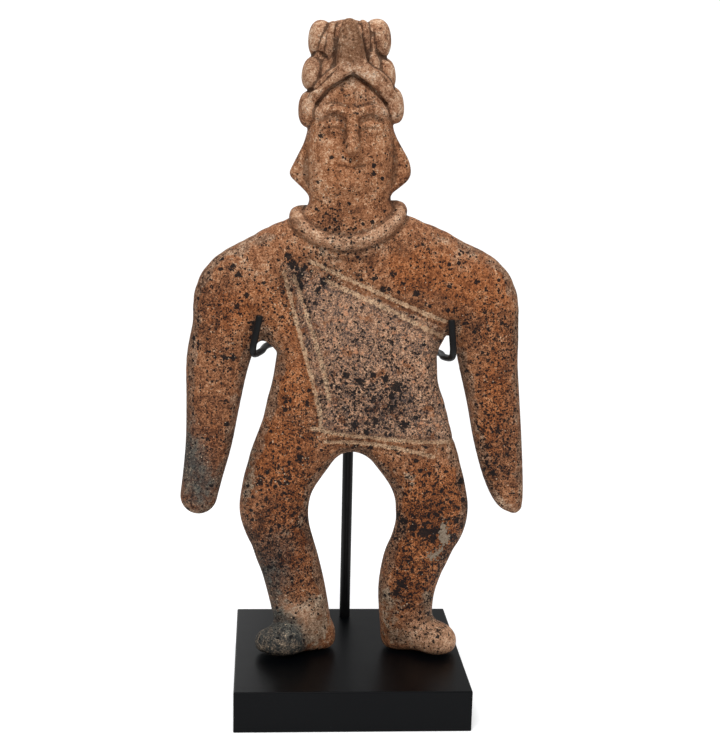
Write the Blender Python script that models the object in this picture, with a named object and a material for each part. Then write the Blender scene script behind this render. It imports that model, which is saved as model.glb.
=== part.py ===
"""A flat pottery figure of a standing person, held upright on a square black base.

The base carries a thin steel rod in a blind hole. Two hooks of bent wire leave the top of the
rod, pass under the armpits of the figure and end in short prongs in front of its chest.
World frame: metres, +Z up, x to the viewer's right, y away from the viewer, and the origin
in the middle of the underside of the base.
"""

import math

import bmesh
import bpy
import numpy as np

# Stand: every size in metres.
BASE_WIDTH = 0.102
BASE_DEPTH = 0.103
BASE_HEIGHT = 0.0182
BASE_ARRIS = 0.0005
ROD_DIAMETER = 0.005
ROD_OFFSET = 0.0012
ROD_SETBACK = 0.0105
ROD_HOLE_DEPTH = 0.012
ROD_HOLE_CLEARANCE = 0.0003
ROD_ABOVE_HOOKS = 0.004
WIRE_DIAMETER = 0.003
PRONG_CLEARANCE = 0.0016
TOUCH_GAP = 0.0003
TUBE_SIDES = 12

# Figure: its form, pose and carving are shares of its height.
FIGURE_HEIGHT = 0.2807
FIGURE_TRIANGLES = 7400
GRID = 1.5

# The tables below give the form in millimetres at this drawn height, measured from the soles.
DRAWN_HEIGHT = 280.7
MM = FIGURE_HEIGHT / DRAWN_HEIGHT
BODY_HALF_DEPTH = 10.8

# Trunk: height, middle, half width.
TORSO = (
    (86, 1.4, 44.8), (97, 1.5, 42.0), (107, 0.0, 37.8), (117, 0.2, 37.2), (127, 1.0, 36.1),
    (137, 1.4, 35.1), (143, -0.2, 38.3), (149, -1.2, 40.4), (165, 0.3, 43.7), (186, 0.6, 38.0),
)

# Limbs: x, z, half width, half depth. "left" is the viewer's left.
ARM_LEFT = (
    (-12, 177.8, 24.0, 10.5), (-38, 170.6, 18.9, 10.5), (-52.4, 163.0, 17.0, 10.2),
    (-55.9, 148, 15.1, 10.0), (-59.6, 133, 14.0, 9.6), (-61.5, 115, 12.1, 9.0),
    (-63.3, 97, 10.5, 8.3), (-65.9, 82, 9.1, 7.6), (-67.8, 71.6, 8.4, 6.6),
)
ARM_RIGHT = (
    (10, 177.8, 24.0, 10.5), (38, 170.6, 18.9, 10.5), (53.6, 163.0, 17.7, 10.2),
    (58.2, 148, 15.2, 10.0), (60.3, 133, 13.4, 9.6), (63.0, 117, 12.1, 9.0),
    (65.6, 100, 11.1, 8.3), (68.6, 84, 9.4, 7.4), (71.5, 73, 7.0, 6.2), (74.2, 67.9, 3.9, 4.6),
)
LEG_LEFT = (
    (-19.2, 106, 18.2, 10.6), (-23.2, 97, 17.6, 10.6), (-27.0, 90, 16.8, 10.6),
    (-30.0, 84, 16.1, 10.6), (-32.3, 78, 15.7, 10.4), (-33.6, 72, 15.5, 10.3),
    (-34.2, 66, 15.5, 10.2), (-33.2, 60, 14.7, 10.1), (-31.3, 54, 13.8, 10.0),
    (-29.1, 47, 13.6, 9.9), (-26.7, 40, 13.3, 9.8), (-23.6, 28, 13.1, 9.4),
    (-20.7, 14, 12.7, 8.8), (-18.8, 4, 12.2, 7.0), (-17.5, -6, 11.8, 6.0),
)
LEG_RIGHT = (
    (21.6, 106, 20.6, 10.6), (26.0, 97, 18.7, 10.6), (29.6, 90, 17.3, 10.6),
    (32.6, 84, 16.6, 10.6), (34.9, 78, 16.3, 10.4), (36.4, 72, 16.2, 10.3),
    (37.1, 66, 16.4, 10.2), (36.6, 60, 15.7, 10.1), (34.5, 54, 14.5, 10.0),
    (32.0, 47, 14.0, 9.9), (29.1, 40, 13.8, 9.8), (26.6, 28, 12.9, 9.4),
    (26.6, 14, 11.9, 8.8), (27.2, 4, 11.2, 7.0), (27.8, -6, 10.8, 6.0),
)
HEAD = (
    (-3.2, 190, 17.3, 10.0), (-3.0, 203, 17.6, 10.6), (-3.2, 214, 18.6, 12.4),
    (-3.4, 230, 18.9, 12.6), (-3.8, 246, 17.0, 11.5),
)
HEADDRESS = ((-5, 248, 16.4, 8.5), (-5, 262, 15.2, 8.5), (-5, 266, 14.0, 8.2))

# Feet: x, y, z, radius from the heel forward to the toes.
FOOT_LEFT = ((-13, 3.5, 6, 7), (-22, -3.0, 6.5, 8.2), (-29.5, -8.0, 6.0, 8.4), (-36, -6, 4.6, 6.2))
FOOT_RIGHT = ((24, 4, 6, 7), (33, -1.5, 6.5, 8.0), (40, -7.2, 6.0, 8.4), (43.6, -4.5, 4.6, 6.1))

# Padded tufts of the headdress: middle, half sizes, sideways lean in radians.
TUFTS = (
    ((-16.9, -0.5, 271.4), (5.2, 8.5, 8.2), 0.04), ((-19.8, -0.5, 257.3), (4.8, 8.5, 7.2), 0.14),
    ((-21.3, -0.5, 242.3), (4.6, 8.0, 7.7), 0.02), ((7.2, -0.5, 272.1), (5.9, 8.5, 8.6), -0.08),
    ((10.6, -0.5, 257.5), (4.8, 8.5, 7.2), -0.14), ((14.9, -0.5, 244.7), (4.4, 8.0, 7.8), -0.12),
    ((-12.4, -4.2, 271.2), (3.3, 6.0, 8.0), 0.12), ((0.9, -4.4, 271.8), (3.2, 6.0, 8.2), -0.05),
    ((-13.8, -4.6, 258.6), (3.4, 6.0, 6.6), 0.25), ((5.4, -4.6, 260.8), (3.2, 6.0, 7.0), -0.25),
)
CROWN = ((-5, 2, 272.4), (13.6, 8, 7.4))

# Ears: flat flaps with these corners seen from the front, anticlockwise.
EARS = (
    ((-14, 236), (-19, 236.5), (-29.9, 214.6), (-20.5, 205.8), (-14, 206)),
    ((8, 208), (15, 206.9), (23.2, 213.6), (23.5, 219.6), (12.5, 238), (8, 236)),
)

# Flat forehead strap (x, z, half width, front reach) rising to a middle peak, and the horn
# that stands on the peak.
STRAP = (
    (-20.8, 244.6, 1.8, 8.0), (-17.6, 250.2, 2.5, 11.2), (-13.2, 254.6, 3.0, 13.4),
    (-8.0, 258.2, 3.3, 15.0), (-3.4, 261.4, 3.4, 15.4), (1.6, 258.6, 3.8, 14.8),
    (6.8, 254.9, 4.0, 13.2), (11.2, 250.6, 3.7, 10.8), (14.4, 245.6, 2.8, 7.6),
)
HORN = ((-4.2, -8.0, 263.0, 7.6), (-4.8, -11.2, 267.0, 6.5), (-5.3, -14.0, 271.8, 5.3),
        (-5.6, -15.4, 276.0, 3.9))

# The fold of cloth on the chest below the rolled collar: x, y, z, radius.
FOLD = ((-18.0, -9.0, 187.4, 2.4), (-11.0, -9.8, 183.8, 2.7), (-3.6, -10.0, 182.6, 2.7),
        (3.6, -9.8, 183.8, 2.7), (9.8, -9.0, 187.2, 2.4))

# Lines drawn in the clay with a point: corners in x and z, then width and depth.
LINES = (
    (((-31.2, 173), (-27.8, 160.5), (-22.5, 141), (-15.4, 114.2), (-14.3, 105.6)), 0.8, 0.9),
    (((-26.8, 172), (-24.3, 164), (-18.6, 147), (-13.1, 129.2), (-11, 118)), 0.8, 0.9),
    (((-20, 178.4), (-10, 173.6), (11, 164.5), (28, 157.2), (39.5, 152.6)), 0.8, 0.9),
    (((-13, 170), (-3, 165.6), (14, 158), (28, 151), (38.5, 145.6)), 0.8, 0.9),
    (((-18, 104.8), (-3, 101.8), (22, 99.6), (45, 98.3)), 0.9, 0.9),
    (((-12, 98.6), (5, 98), (22, 95.6), (36, 92.3)), 0.8, 0.8),
    (((-18.0, 244.6), (-13.2, 250.6), (-8.2, 254.2), (-3.9, 257.0), (-2.6, 256.8), (4.2, 252.0),
      (11.0, 245.4)), 0.9, 1.5),
)

# The panel of cloth between the sash and the belt stands a little proud.
PANEL = ((-31, 178), (-14.3, 105), (-3, 101.6), (45, 98), (40, 150))
PANEL_RISE = 0.45


def smooth_min(a, b, k):
    """The lesser of a and b, rounded over the width k where they meet."""
    h = np.clip(0.5 + 0.5 * (b - a) / k, 0, 1)
    return b + (a - b) * h - k * h * (1 - h)


def smooth_max(a, b, k):
    """The greater of a and b, rounded over the width k where they meet."""
    return -smooth_min(-a, -b, k)


def curve(points, steps=4):
    """Smooth curve through the rows of points, each stretch cut into steps."""
    p = np.asarray(points, float)
    p = np.vstack([2 * p[0] - p[1], p, 2 * p[-1] - p[-2]])
    t = np.linspace(0, 1, steps, endpoint=False)[:, None]
    rows = []
    for a, b, c, d in zip(p[:-3], p[1:-2], p[2:-1], p[3:]):
        square = (2 * a - 5 * b + 4 * c - d) * t ** 2
        cube = (3 * b - a - 3 * c + d) * t ** 3
        rows.append(0.5 * (2 * b + (c - a) * t + square + cube))
    return np.vstack(rows + [p[-2:-1]])


# How a cross section turns its corners: sharpness of the corners, and how much they are cut.
ROUNDED = (4.0, 0.55)
BEVELLED = (9.0, 0.68)
SQUARE = (12.0, 0.58)


def limb(x, z, stations, corner):
    """Front view of a flat limb: signed distance, half depth, half width and corner form."""
    rows = curve(stations)
    best = None
    for a, b in zip(rows[:-1], rows[1:]):
        dx, dz = b[0] - a[0], b[1] - a[1]
        t = np.clip(((x - a[0]) * dx + (z - a[1]) * dz) / (dx * dx + dz * dz), 0, 1)
        half = a[2] + (b[2] - a[2]) * t
        far = np.hypot(x - a[0] - t * dx, z - a[1] - t * dz) - half
        deep = a[3] + (b[3] - a[3]) * t
        if best is None:
            best, depth, width = far, deep, half
        else:
            near = far < best
            best = np.where(near, far, best)
            depth = np.where(near, deep, depth)
            width = np.where(near, half, width)
    return best, depth, width, np.full_like(best, corner[0]), np.full_like(best, corner[1])


def trunk(x, z):
    """Front view of the trunk: a band about its middle line, closed at crotch and shoulders."""
    rows = np.array(TORSO, float)
    middle = np.interp(z, rows[:, 0], rows[:, 1])
    half = np.interp(z, rows[:, 0], rows[:, 2])
    f = np.abs(x - middle) - half
    f = smooth_max(f, 92.3 - z, 4)
    f = smooth_max(f, z - 187.4, 12)
    one = np.ones_like(f)
    return f, one * BODY_HALF_DEPTH, one * 19, one * BEVELLED[0], one * BEVELLED[1]


def blend(a, b, k):
    """Two front views run into one over the width k, with their depths mixed alike."""
    h = np.clip(0.5 + 0.5 * (b[0] - a[0]) / k, 0, 1)
    f = b[0] + (a[0] - b[0]) * h - k * h * (1 - h)
    return (f,) + tuple(q + (p - q) * h for p, q in zip(a[1:], b[1:]))


def front_views(x, z):
    """The flat parts seen from the front: body with limbs, head, and headdress."""
    body = blend(trunk(x, z), limb(x, z, ARM_LEFT, ROUNDED), 9)
    body = blend(body, limb(x, z, ARM_RIGHT, ROUNDED), 9)
    body = blend(body, limb(x, z, LEG_LEFT, BEVELLED), 6)
    body = blend(body, limb(x, z, LEG_RIGHT, BEVELLED), 6)
    return body, limb(x, z, HEAD, ROUNDED), limb(x, z, HEADDRESS, SQUARE)


def slab(y, view, rim, middle=0.0):
    """Solid of a front view, as deep as the view says, with its corners cut and rounded.

    With u rising from 0 inside to 1 at the outline and v from 0 in mid depth to 1 at the face,
    the skin is where u, v and a cut across the corner, each to a high power, add up to 1.
    """
    f, depth, half, sharp, cut = view
    edge = np.minimum(half * rim, 14)
    u = np.maximum(1 + f / edge, 0)
    v = np.abs((y - middle) / depth)
    q = (u ** sharp + v ** sharp + (cut * (u + v)) ** sharp) ** (1 / sharp)
    return (q - 1) * np.minimum(depth, edge)


def rod_shape(x, y, z, stations, steps=4):
    """Signed distance to a round limb through stations of x, y, z and radius."""
    rows = curve(stations, steps)
    best = None
    for a, b in zip(rows[:-1], rows[1:]):
        d = b[:3] - a[:3]
        px, py, pz = x - a[0], y - a[1], z - a[2]
        t = np.clip((px * d[0] + py * d[1] + pz * d[2]) / (d @ d), 0, 1)
        far = np.sqrt((px - t * d[0]) ** 2 + (py - t * d[1]) ** 2 + (pz - t * d[2]) ** 2)
        far = far - (a[3] + (b[3] - a[3]) * t)
        best = far if best is None else np.minimum(best, far)
    return best


def lump_shape(x, y, z, middle, half, lean=0.0, boxy=2.0):
    """Signed distance to an oval lump, leaning sideways and squared off by boxy."""
    u, w = x - middle[0], z - middle[2]
    a = u * math.cos(lean) - w * math.sin(lean)
    b = u * math.sin(lean) + w * math.cos(lean)
    q = np.abs(a / half[0]) ** boxy + np.abs((y - middle[1]) / half[1]) ** boxy
    q = (q + np.abs(b / half[2]) ** boxy) ** (1 / boxy)
    return (q - 1) * min(half)


def corners_shape(x, z, corners, round_off):
    """Signed distance to a convex outline seen from the front."""
    far = None
    for i, first in enumerate(corners):
        last = corners[(i + 1) % len(corners)]
        ex, ez = last[0] - first[0], last[1] - first[1]
        long = math.hypot(ex, ez)
        d = ((x - first[0]) * ez - (z - first[1]) * ex) / long
        far = d if far is None else smooth_max(far, d, round_off)
    return far


def line_distance(x, z, points):
    """Distance in the front view to a smooth line through the points."""
    rows = curve(points, 3)
    best = None
    for a, b in zip(rows[:-1], rows[1:]):
        dx, dz = b - a
        t = np.clip(((x - a[0]) * dx + (z - a[1]) * dz) / (dx * dx + dz * dz), 0, 1)
        d = np.hypot(x - a[0] - t * dx, z - a[1] - t * dz)
        best = d if best is None else np.minimum(best, d)
    return best


class Clay:
    """Points in space and the signed distance from each to the clay put on so far."""

    def __init__(self, x, y, z, f):
        self.x, self.y, self.z, self.f = x, y, z, f

    def near(self, low, high, reach):
        """The points inside a box widened by reach."""
        mask = np.ones(len(self.x), bool)
        for q, a, b in zip((self.x, self.y, self.z), low, high):
            mask &= (q > a - reach) & (q < b + reach)
        return np.nonzero(mask)[0]

    def join(self, shape, low, high, soft):
        """Run a shape into the clay with a fillet of width soft."""
        i = self.near(low, high, soft + 5)
        if len(i):
            self.f[i] = smooth_min(self.f[i], shape(self.x[i], self.y[i], self.z[i]), soft)

    def add_rod(self, stations, soft, steps=4):
        p = np.array(stations, float)
        r = p[:, 3].max()
        self.join(lambda x, y, z: rod_shape(x, y, z, stations, steps),
                  p[:, :3].min(0) - r, p[:, :3].max(0) + r, soft)

    def add_lump(self, middle, half, soft, lean=0.0, boxy=2.0):
        c = np.array(middle, float)
        wide = max(half[0], half[2])
        r = np.array([wide, half[1], wide])
        self.join(lambda x, y, z: lump_shape(x, y, z, middle, half, lean, boxy),
                  c - r, c + r, soft)

    def groove(self, points, width, depth):
        """Press a rounded line into the front, as deep as depth along its middle."""
        p = np.array(points, float)
        low, high = p.min(0), p.max(0)
        i = self.near((low[0], -30, low[1]), (high[0], 2, high[1]), 3 * width)
        if len(i):
            d = line_distance(self.x[i], self.z[i], points)
            front = np.clip((2 - self.y[i]) / 4, 0, 1)
            self.f[i] += depth * np.exp(-(d / width) ** 2) * front


def strap_shape(x, y, z):
    """Signed distance to the flat strap: its front view, cut off at its front reach."""
    far, reach = limb(x, z, STRAP, SQUARE)[:2]
    return smooth_max(far, -y - reach, 1.4)


def collar_ring():
    """The rolled collar: a tilted ring round the neck, sagging towards the front."""
    t = np.linspace(0, 2 * math.pi, 33)
    x = -3.6 + 22.6 * np.sin(t)
    y = -1.3 - 10.9 * np.cos(t)
    z = 198.4 - 5.6 * np.cos(t) - 6.4 * np.cos(t) ** 2 + 1.6 * np.sin(t)
    return np.stack([x, y, z, 3.1 + 0 * t], 1)


def add_face(clay):
    """A calm, plain face laid out in equal thirds between chin and hair line."""
    middle, chin, hair = -3.3, 208.0, 258.0
    third = (hair - chin) / 3
    brow, nose = hair - third, chin + third
    eye, mouth = (chin + 262) / 2, chin + third * 0.66
    clay.add_rod(((middle, -12.3, brow - 0.5, 2.0), (middle, -14.6, eye - 2, 2.5),
                  (middle, -17.2, nose + 2, 3.3)), 2.4)
    for side in (-1, 1):
        clay.add_rod(((middle + side * 2.5, -12.9, brow, 1.2),
                      (middle + side * 8.5, -12.4, brow + 1.6, 1.4),
                      (middle + side * 14, -9.6, brow - 0.2, 1.2)), 2.5)
        clay.add_lump((middle + side * 8.4, -11.4, eye), (5.2, 2.1, 2.6), 1.5)
        clay.groove(((middle + side * 4.2, eye - 0.6), (middle + side * 8.2, eye + 0.1),
                     (middle + side * 11.8, eye - 0.4)), 0.7, 1.0)
    clay.add_lump((middle, -11.2, mouth), (6.4, 2.6, 3.0), 2)
    clay.groove(((middle - 5.4, mouth + 0.3), (middle, mouth - 0.3), (middle + 5.4, mouth + 0.3)),
                0.7, 1.2)
    clay.add_lump((middle, -10.4, chin + 4.5), (8.0, 4.0, 4.6), 3)


def clay_distance(x, y, z, views):
    """Signed distance from points to the whole figure, given its front views at those points."""
    body, head, dress = views
    f = slab(y, body, 0.8)
    f = smooth_min(f, slab(y, head, 0.85, -0.4), 5)
    clay = Clay(x, y, z, f)
    clay.add_rod(FOOT_LEFT, 4)
    clay.add_rod(FOOT_RIGHT, 4)
    clay.f = smooth_max(clay.f, -z, 3.5)
    clay.f = smooth_min(clay.f, slab(y, dress, 0.5, 2.0), 2)
    clay.add_lump(*CROWN, 1.6)
    for middle, half, lean in TUFTS:
        clay.add_lump(middle, half, 0.5, lean, 2.3)
    for corners in EARS:
        p = np.array(corners)
        clay.join(lambda x, y, z: smooth_max(corners_shape(x, z, corners, 2.5),
                                             np.abs(y - 0.5) - 3.6, 3),
                  (p[:, 0].min(), -3.5, p[:, 1].min()), (p[:, 0].max(), 4.5, p[:, 1].max()), 2.2)
    clay.add_rod(FOLD, 1.4)
    clay.add_rod(collar_ring(), 0.4, 1)
    p = np.array(STRAP)
    clay.join(strap_shape, (p[:, 0].min() - 4, -16, p[:, 1].min() - 4),
              (p[:, 0].max() + 4, 0, p[:, 1].max() + 4), 0.6)
    clay.add_rod(HORN, 1.6)
    add_face(clay)
    for points, width, depth in LINES:
        clay.groove(points, width, depth)
    i = clay.near((-35, -30, 95), (47, 2, 180), 2)
    inside = np.clip(0.5 - corners_shape(clay.x[i], clay.z[i], PANEL, 2) / 1.6, 0, 1)
    clay.f[i] -= PANEL_RISE * inside * np.clip((2 - clay.y[i]) / 4, 0, 1)
    return clay.f


def grid_line(stretches, block):
    """Coordinates at each stretch's own spacing, padded to a whole number of blocks."""
    line = np.concatenate([np.arange(a, b, s) for a, b, s in stretches])
    more = (-len(line)) % block
    return np.concatenate([line, line[-1] + (line[-1] - line[-2]) * np.arange(1, more + 1)])


def distance_grid(xs, ys, zs, block=3, band=4.6):
    """Distance at every grid point, exact near the surface and rough elsewhere."""
    table = front_views(xs[:, None] + 0 * zs, zs + 0 * xs[:, None])
    rough = [q.reshape(-1, block).mean(1) for q in (xs, ys, zs)]
    c = np.stack(np.meshgrid(*rough, indexing="ij"), -1).reshape(-1, 3)
    f = clay_distance(c[:, 0], c[:, 1], c[:, 2], front_views(c[:, 0], c[:, 2]))
    f = f.reshape([len(q) for q in rough])
    for way in range(3):
        f = f.repeat(block, way)
    i, j, k = np.nonzero(np.abs(f) < band)
    views = [[q[i, k] for q in view] for view in table]
    f[i, j, k] = clay_distance(xs[i], ys[j], zs[k], views)
    return without_pinches(f)


def without_pinches(f, least=0.03):
    """Fill the grid corners at which the skin would touch itself along an edge or at a point."""
    for _ in range(30):
        below = f < 0
        fill = np.zeros(f.shape, bool)
        for p, q in ((0, 1), (0, 2), (1, 2)):
            part = {}
            for a in (0, 1):
                for b in (0, 1):
                    cut = [slice(None)] * 3
                    cut[p] = slice(a, f.shape[p] - 1 + a)
                    cut[q] = slice(b, f.shape[q] - 1 + b)
                    part[a, b] = tuple(cut)
            near, far = below[part[0, 0]] & below[part[1, 1]], below[part[0, 1]] & below[part[1, 0]]
            none = ~below[part[0, 1]] & ~below[part[1, 0]]
            fill[part[0, 1]] |= near & none
            fill[part[1, 0]] |= near & none
            none = ~below[part[0, 0]] & ~below[part[1, 1]]
            fill[part[0, 0]] |= far & none
            fill[part[1, 1]] |= far & none
        size = [n - 1 for n in f.shape]
        cell = {}
        for a in (0, 1):
            for b in (0, 1):
                for c in (0, 1):
                    cell[a, b, c] = tuple(slice(o, n + o) for o, n in zip((a, b, c), size))
        count = sum(below[cut].astype(int) for cut in cell.values())
        for a, b, c in ((0, 0, 0), (1, 0, 0), (0, 1, 0), (0, 0, 1)):
            one, two = cell[a, b, c], cell[1 - a, 1 - b, 1 - c]
            lone = (count == 2) & below[one] & below[two]
            gap = (count == 6) & ~below[one] & ~below[two]
            fill[cell[1 - a, b, c]] |= lone
            fill[one] |= gap
        fill &= ~below
        if not fill.any():
            break
        f[fill] = -least
    return f


def surface_of(f, lines):
    """Closed skin of four-sided faces round the part of the grid where f is below zero."""
    below = f < 0
    count = np.zeros(np.array(f.shape) - 1, int)
    for a in (0, 1):
        for b in (0, 1):
            for c in (0, 1):
                count += below[a:f.shape[0] - 1 + a, b:f.shape[1] - 1 + b, c:f.shape[2] - 1 + c]
    active = (count > 0) & (count < 8)
    cells = np.stack(np.nonzero(active), 1)
    number = np.full(active.shape, -1)
    number[active] = np.arange(len(cells))
    total, hits, faces = np.zeros((len(cells), 3)), np.zeros(len(cells)), []
    for way in range(3):
        p, q = [r for r in range(3) if r != way]
        for a in (0, 1):
            for b in (0, 1):
                start = cells.copy()
                start[:, p] += a
                start[:, q] += b
                end = start.copy()
                end[:, way] += 1
                fa, fb = f[tuple(start.T)], f[tuple(end.T)]
                cross = (fa < 0) != (fb < 0)
                t = np.where(cross, fa / np.where(cross, fa - fb, 1), 0)
                for r in range(3):
                    ca, cb = lines[r][start[:, r]], lines[r][end[:, r]]
                    total[:, r] += np.where(cross, ca + (cb - ca) * t, 0)
                hits += cross
        low, high = [slice(None)] * 3, [slice(None)] * 3
        low[way], high[way] = slice(0, -1), slice(1, None)
        edge = np.stack(np.nonzero(below[tuple(low)] != below[tuple(high)]), 1)
        keep = (edge[:, p] > 0) & (edge[:, q] > 0)
        keep &= (edge[:, p] < active.shape[p]) & (edge[:, q] < active.shape[q])
        edge = edge[keep]
        ring = []
        for a, b in ((1, 1), (0, 1), (0, 0), (1, 0)):
            cell = edge.copy()
            cell[:, p] -= a
            cell[:, q] -= b
            ring.append(number[tuple(cell.T)])
        quad = np.stack(ring, 1)
        turn = below[tuple(edge.T)] == (way == 1)
        quad[turn] = quad[turn][:, ::-1]
        faces.append(quad)
    return largest_piece(total / hits[:, None], np.vstack(faces))


def largest_piece(points, faces):
    """Only the skin's largest piece, so that no small bubble is left inside the clay."""
    label = np.arange(len(points))
    while True:
        least = label[faces].min(1)
        lower = label.copy()
        for side in range(4):
            np.minimum.at(lower, faces[:, side], least)
        lower = lower[lower]
        if (lower == label).all():
            break
        label = lower
    keep = label == np.bincount(label).argmax()
    number = np.cumsum(keep) - 1
    return points[keep], number[faces[keep[faces[:, 0]]]]


def grid_value(f, lines, points):
    """Value of the grid at the points, run straight between its corners, and its slope."""
    i, t, w = [], [], []
    for r in range(3):
        a = np.clip(np.searchsorted(lines[r], points[:, r], side="right") - 1,
                    0, len(lines[r]) - 2)
        step = lines[r][a + 1] - lines[r][a]
        i.append(a)
        w.append(step)
        t.append((points[:, r] - lines[r][a]) / step)
    c = np.array([[[f[i[0] + a, i[1] + b, i[2] + d] for d in (0, 1)]
                   for b in (0, 1)] for a in (0, 1)])
    x, y, z = t
    cx = c[0] * (1 - x) + c[1] * x
    cxy = cx[0] * (1 - y) + cx[1] * y
    dx = c[1] - c[0]
    dxy = dx[0] * (1 - y) + dx[1] * y
    dy = cx[1] - cx[0]
    value = cxy[0] * (1 - z) + cxy[1] * z
    slope = np.stack([(dxy[0] * (1 - z) + dxy[1] * z) / w[0],
                      (dy[0] * (1 - z) + dy[1] * z) / w[1], (cxy[1] - cxy[0]) / w[2]], 1)
    return value, slope


def even_out(points, faces, f, lines, rounds=6):
    """Even the spacing of the corners by sliding them along the surface f = 0."""
    e = np.vstack([faces[:, [0, 1]], faces[:, [1, 2]], faces[:, [2, 3]], faces[:, [3, 0]]])
    size = len(points)
    count = np.bincount(e.ravel(), minlength=size)[:, None]
    for _ in range(rounds):
        mean = np.stack([np.bincount(e[:, 0], points[e[:, 1], r], size)
                         + np.bincount(e[:, 1], points[e[:, 0], r], size)
                         for r in range(3)], 1) / count
        slope = grid_value(f, lines, points)[1]
        unit = slope / np.maximum(np.linalg.norm(slope, axis=1, keepdims=True), 1e-9)
        move = (mean - points) * 0.5
        points = points + move - unit * (move * unit).sum(1, keepdims=True)
        value, slope = grid_value(f, lines, points)
        back = np.clip(value / np.maximum((slope ** 2).sum(1), 0.05), -0.6, 0.6)
        points = points - back[:, None] * slope
    return points


def figure_skin():
    """Corners in metres, with the soles at height zero, and four-sided faces of the figure."""
    block = 3
    xs = grid_line(((-80, 84, GRID),), block)
    ys = grid_line(((-25, 20, 0.85 * GRID),), block)
    zs = grid_line(((-3, 186, GRID), (186, 286, 0.7 * GRID)), block)
    f = distance_grid(xs, ys, zs, block)
    points, faces = surface_of(f, (xs, ys, zs))
    points = even_out(points, faces, f, (xs, ys, zs))
    return points * MM, faces


def material(name, colour, roughness, metallic=0.0):
    """A plain surface with one colour."""
    made = bpy.data.materials.new(name)
    made.use_nodes = True
    shader = made.node_tree.nodes["Principled BSDF"]
    shader.inputs["Base Color"].default_value = (*colour, 1.0)
    shader.inputs["Roughness"].default_value = roughness
    shader.inputs["Metallic"].default_value = metallic
    return made


def add_object(name, points, faces, surface):
    """A named object from corners and faces."""
    mesh = bpy.data.meshes.new(name)
    mesh.from_pydata([tuple(map(float, p)) for p in points], [], [tuple(map(int, q)) for q in faces])
    mesh.materials.append(surface)
    made = bpy.data.objects.new(name, mesh)
    bpy.context.scene.collection.objects.link(made)
    return made


def block(name, width, depth, height, arris, surface):
    """A square block standing on height zero with a thin arris along every edge."""
    shape = bmesh.new()
    bmesh.ops.create_cube(shape, size=1.0)
    for corner in shape.verts:
        corner.co = (corner.co.x * width, corner.co.y * depth, (corner.co.z + 0.5) * height)
    bmesh.ops.bevel(shape, geom=shape.edges[:], offset=arris, segments=1, affect="EDGES")
    mesh = bpy.data.meshes.new(name)
    shape.to_mesh(mesh)
    shape.free()
    mesh.materials.append(surface)
    made = bpy.data.objects.new(name, mesh)
    bpy.context.scene.collection.objects.link(made)
    return made


def cylinder(name, x, y, low, high, radius, surface):
    """An upright cylinder with flat ends."""
    turn = np.arange(TUBE_SIDES) * 2 * math.pi / TUBE_SIDES
    ring = np.stack([x + radius * np.cos(turn), y + radius * np.sin(turn)], 1)
    points = [(*p, z) for z in (low, high) for p in ring]
    n = TUBE_SIDES
    faces = [(i, (i + 1) % n, n + (i + 1) % n, n + i) for i in range(n)]
    faces += [tuple(range(n))[::-1], tuple(range(n, 2 * n))]
    return add_object(name, points, faces, surface)


def wire(name, points, radius, surface, steps=5):
    """A round wire bent through the points, with flat cut ends."""
    path = curve(points, steps)
    along = np.gradient(path, axis=0)
    along /= np.linalg.norm(along, axis=1, keepdims=True)
    side = np.cross(along[0], (0.3, 0.2, 0.93))
    turn = np.arange(TUBE_SIDES) * 2 * math.pi / TUBE_SIDES
    corners = []
    for centre, way in zip(path, along):
        side = side - way * (side @ way)
        side = side / np.linalg.norm(side)
        other = np.cross(way, side)
        for t in turn:
            corners.append(centre + radius * (math.cos(t) * side + math.sin(t) * other))
    n = TUBE_SIDES
    faces = []
    for row in range(len(path) - 1):
        for i in range(n):
            a, b = row * n + i, row * n + (i + 1) % n
            faces.append((a, b, b + n, a + n))
    faces += [tuple(range(n))[::-1], tuple(range(len(corners) - n, len(corners)))]
    return add_object(name, corners, faces, surface)


def hook_path(side, tip, bend, turn, gap, rear):
    """Points of a hook in metres: prong tip, bend, turn under the arm, and the run to the rod.

    side is -1 for the viewer's left and 1 for the right. The others give x and height in
    table millimetres. The prong stands a clearance in front of the body.
    """
    floor = BASE_HEIGHT + TOUCH_GAP
    front = -(BODY_HALF_DEPTH * MM + PRONG_CLEARANCE + WIRE_DIAMETER / 2)
    back = BODY_HALF_DEPTH * MM + 2 * PRONG_CLEARANCE + WIRE_DIAMETER / 2
    rod_x, rod_y = ROD_OFFSET, BASE_DEPTH / 2 - ROD_SETBACK
    meet = math.hypot(rod_x - side * rear[0] * MM, rod_y - back)
    reach = ROD_DIAMETER / 2 + TOUCH_GAP
    away = np.array((side * rear[0] * MM - rod_x, back - rod_y)) / meet * reach
    height = rear[1] * MM + floor
    end = (rod_x + away[0], rod_y + away[1], height)
    half = tuple(0.5 * (a + b) for a, b in zip(end, (side * rear[0] * MM, back, height)))
    low_y = front + 0.0035
    return (
        (side * tip[0] * MM, front, tip[1] * MM + floor),
        (side * 0.5 * (tip[0] + bend[0]) * MM, front, 0.5 * (tip[1] + bend[1]) * MM + floor),
        (side * bend[0] * MM, front, bend[1] * MM + floor),
        (side * turn[0] * MM, low_y, turn[1] * MM + floor),
        (side * gap[0] * MM, 0.0, gap[1] * MM + floor),
        (side * rear[0] * MM, back, height),
        half,
        end,
    )


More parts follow.
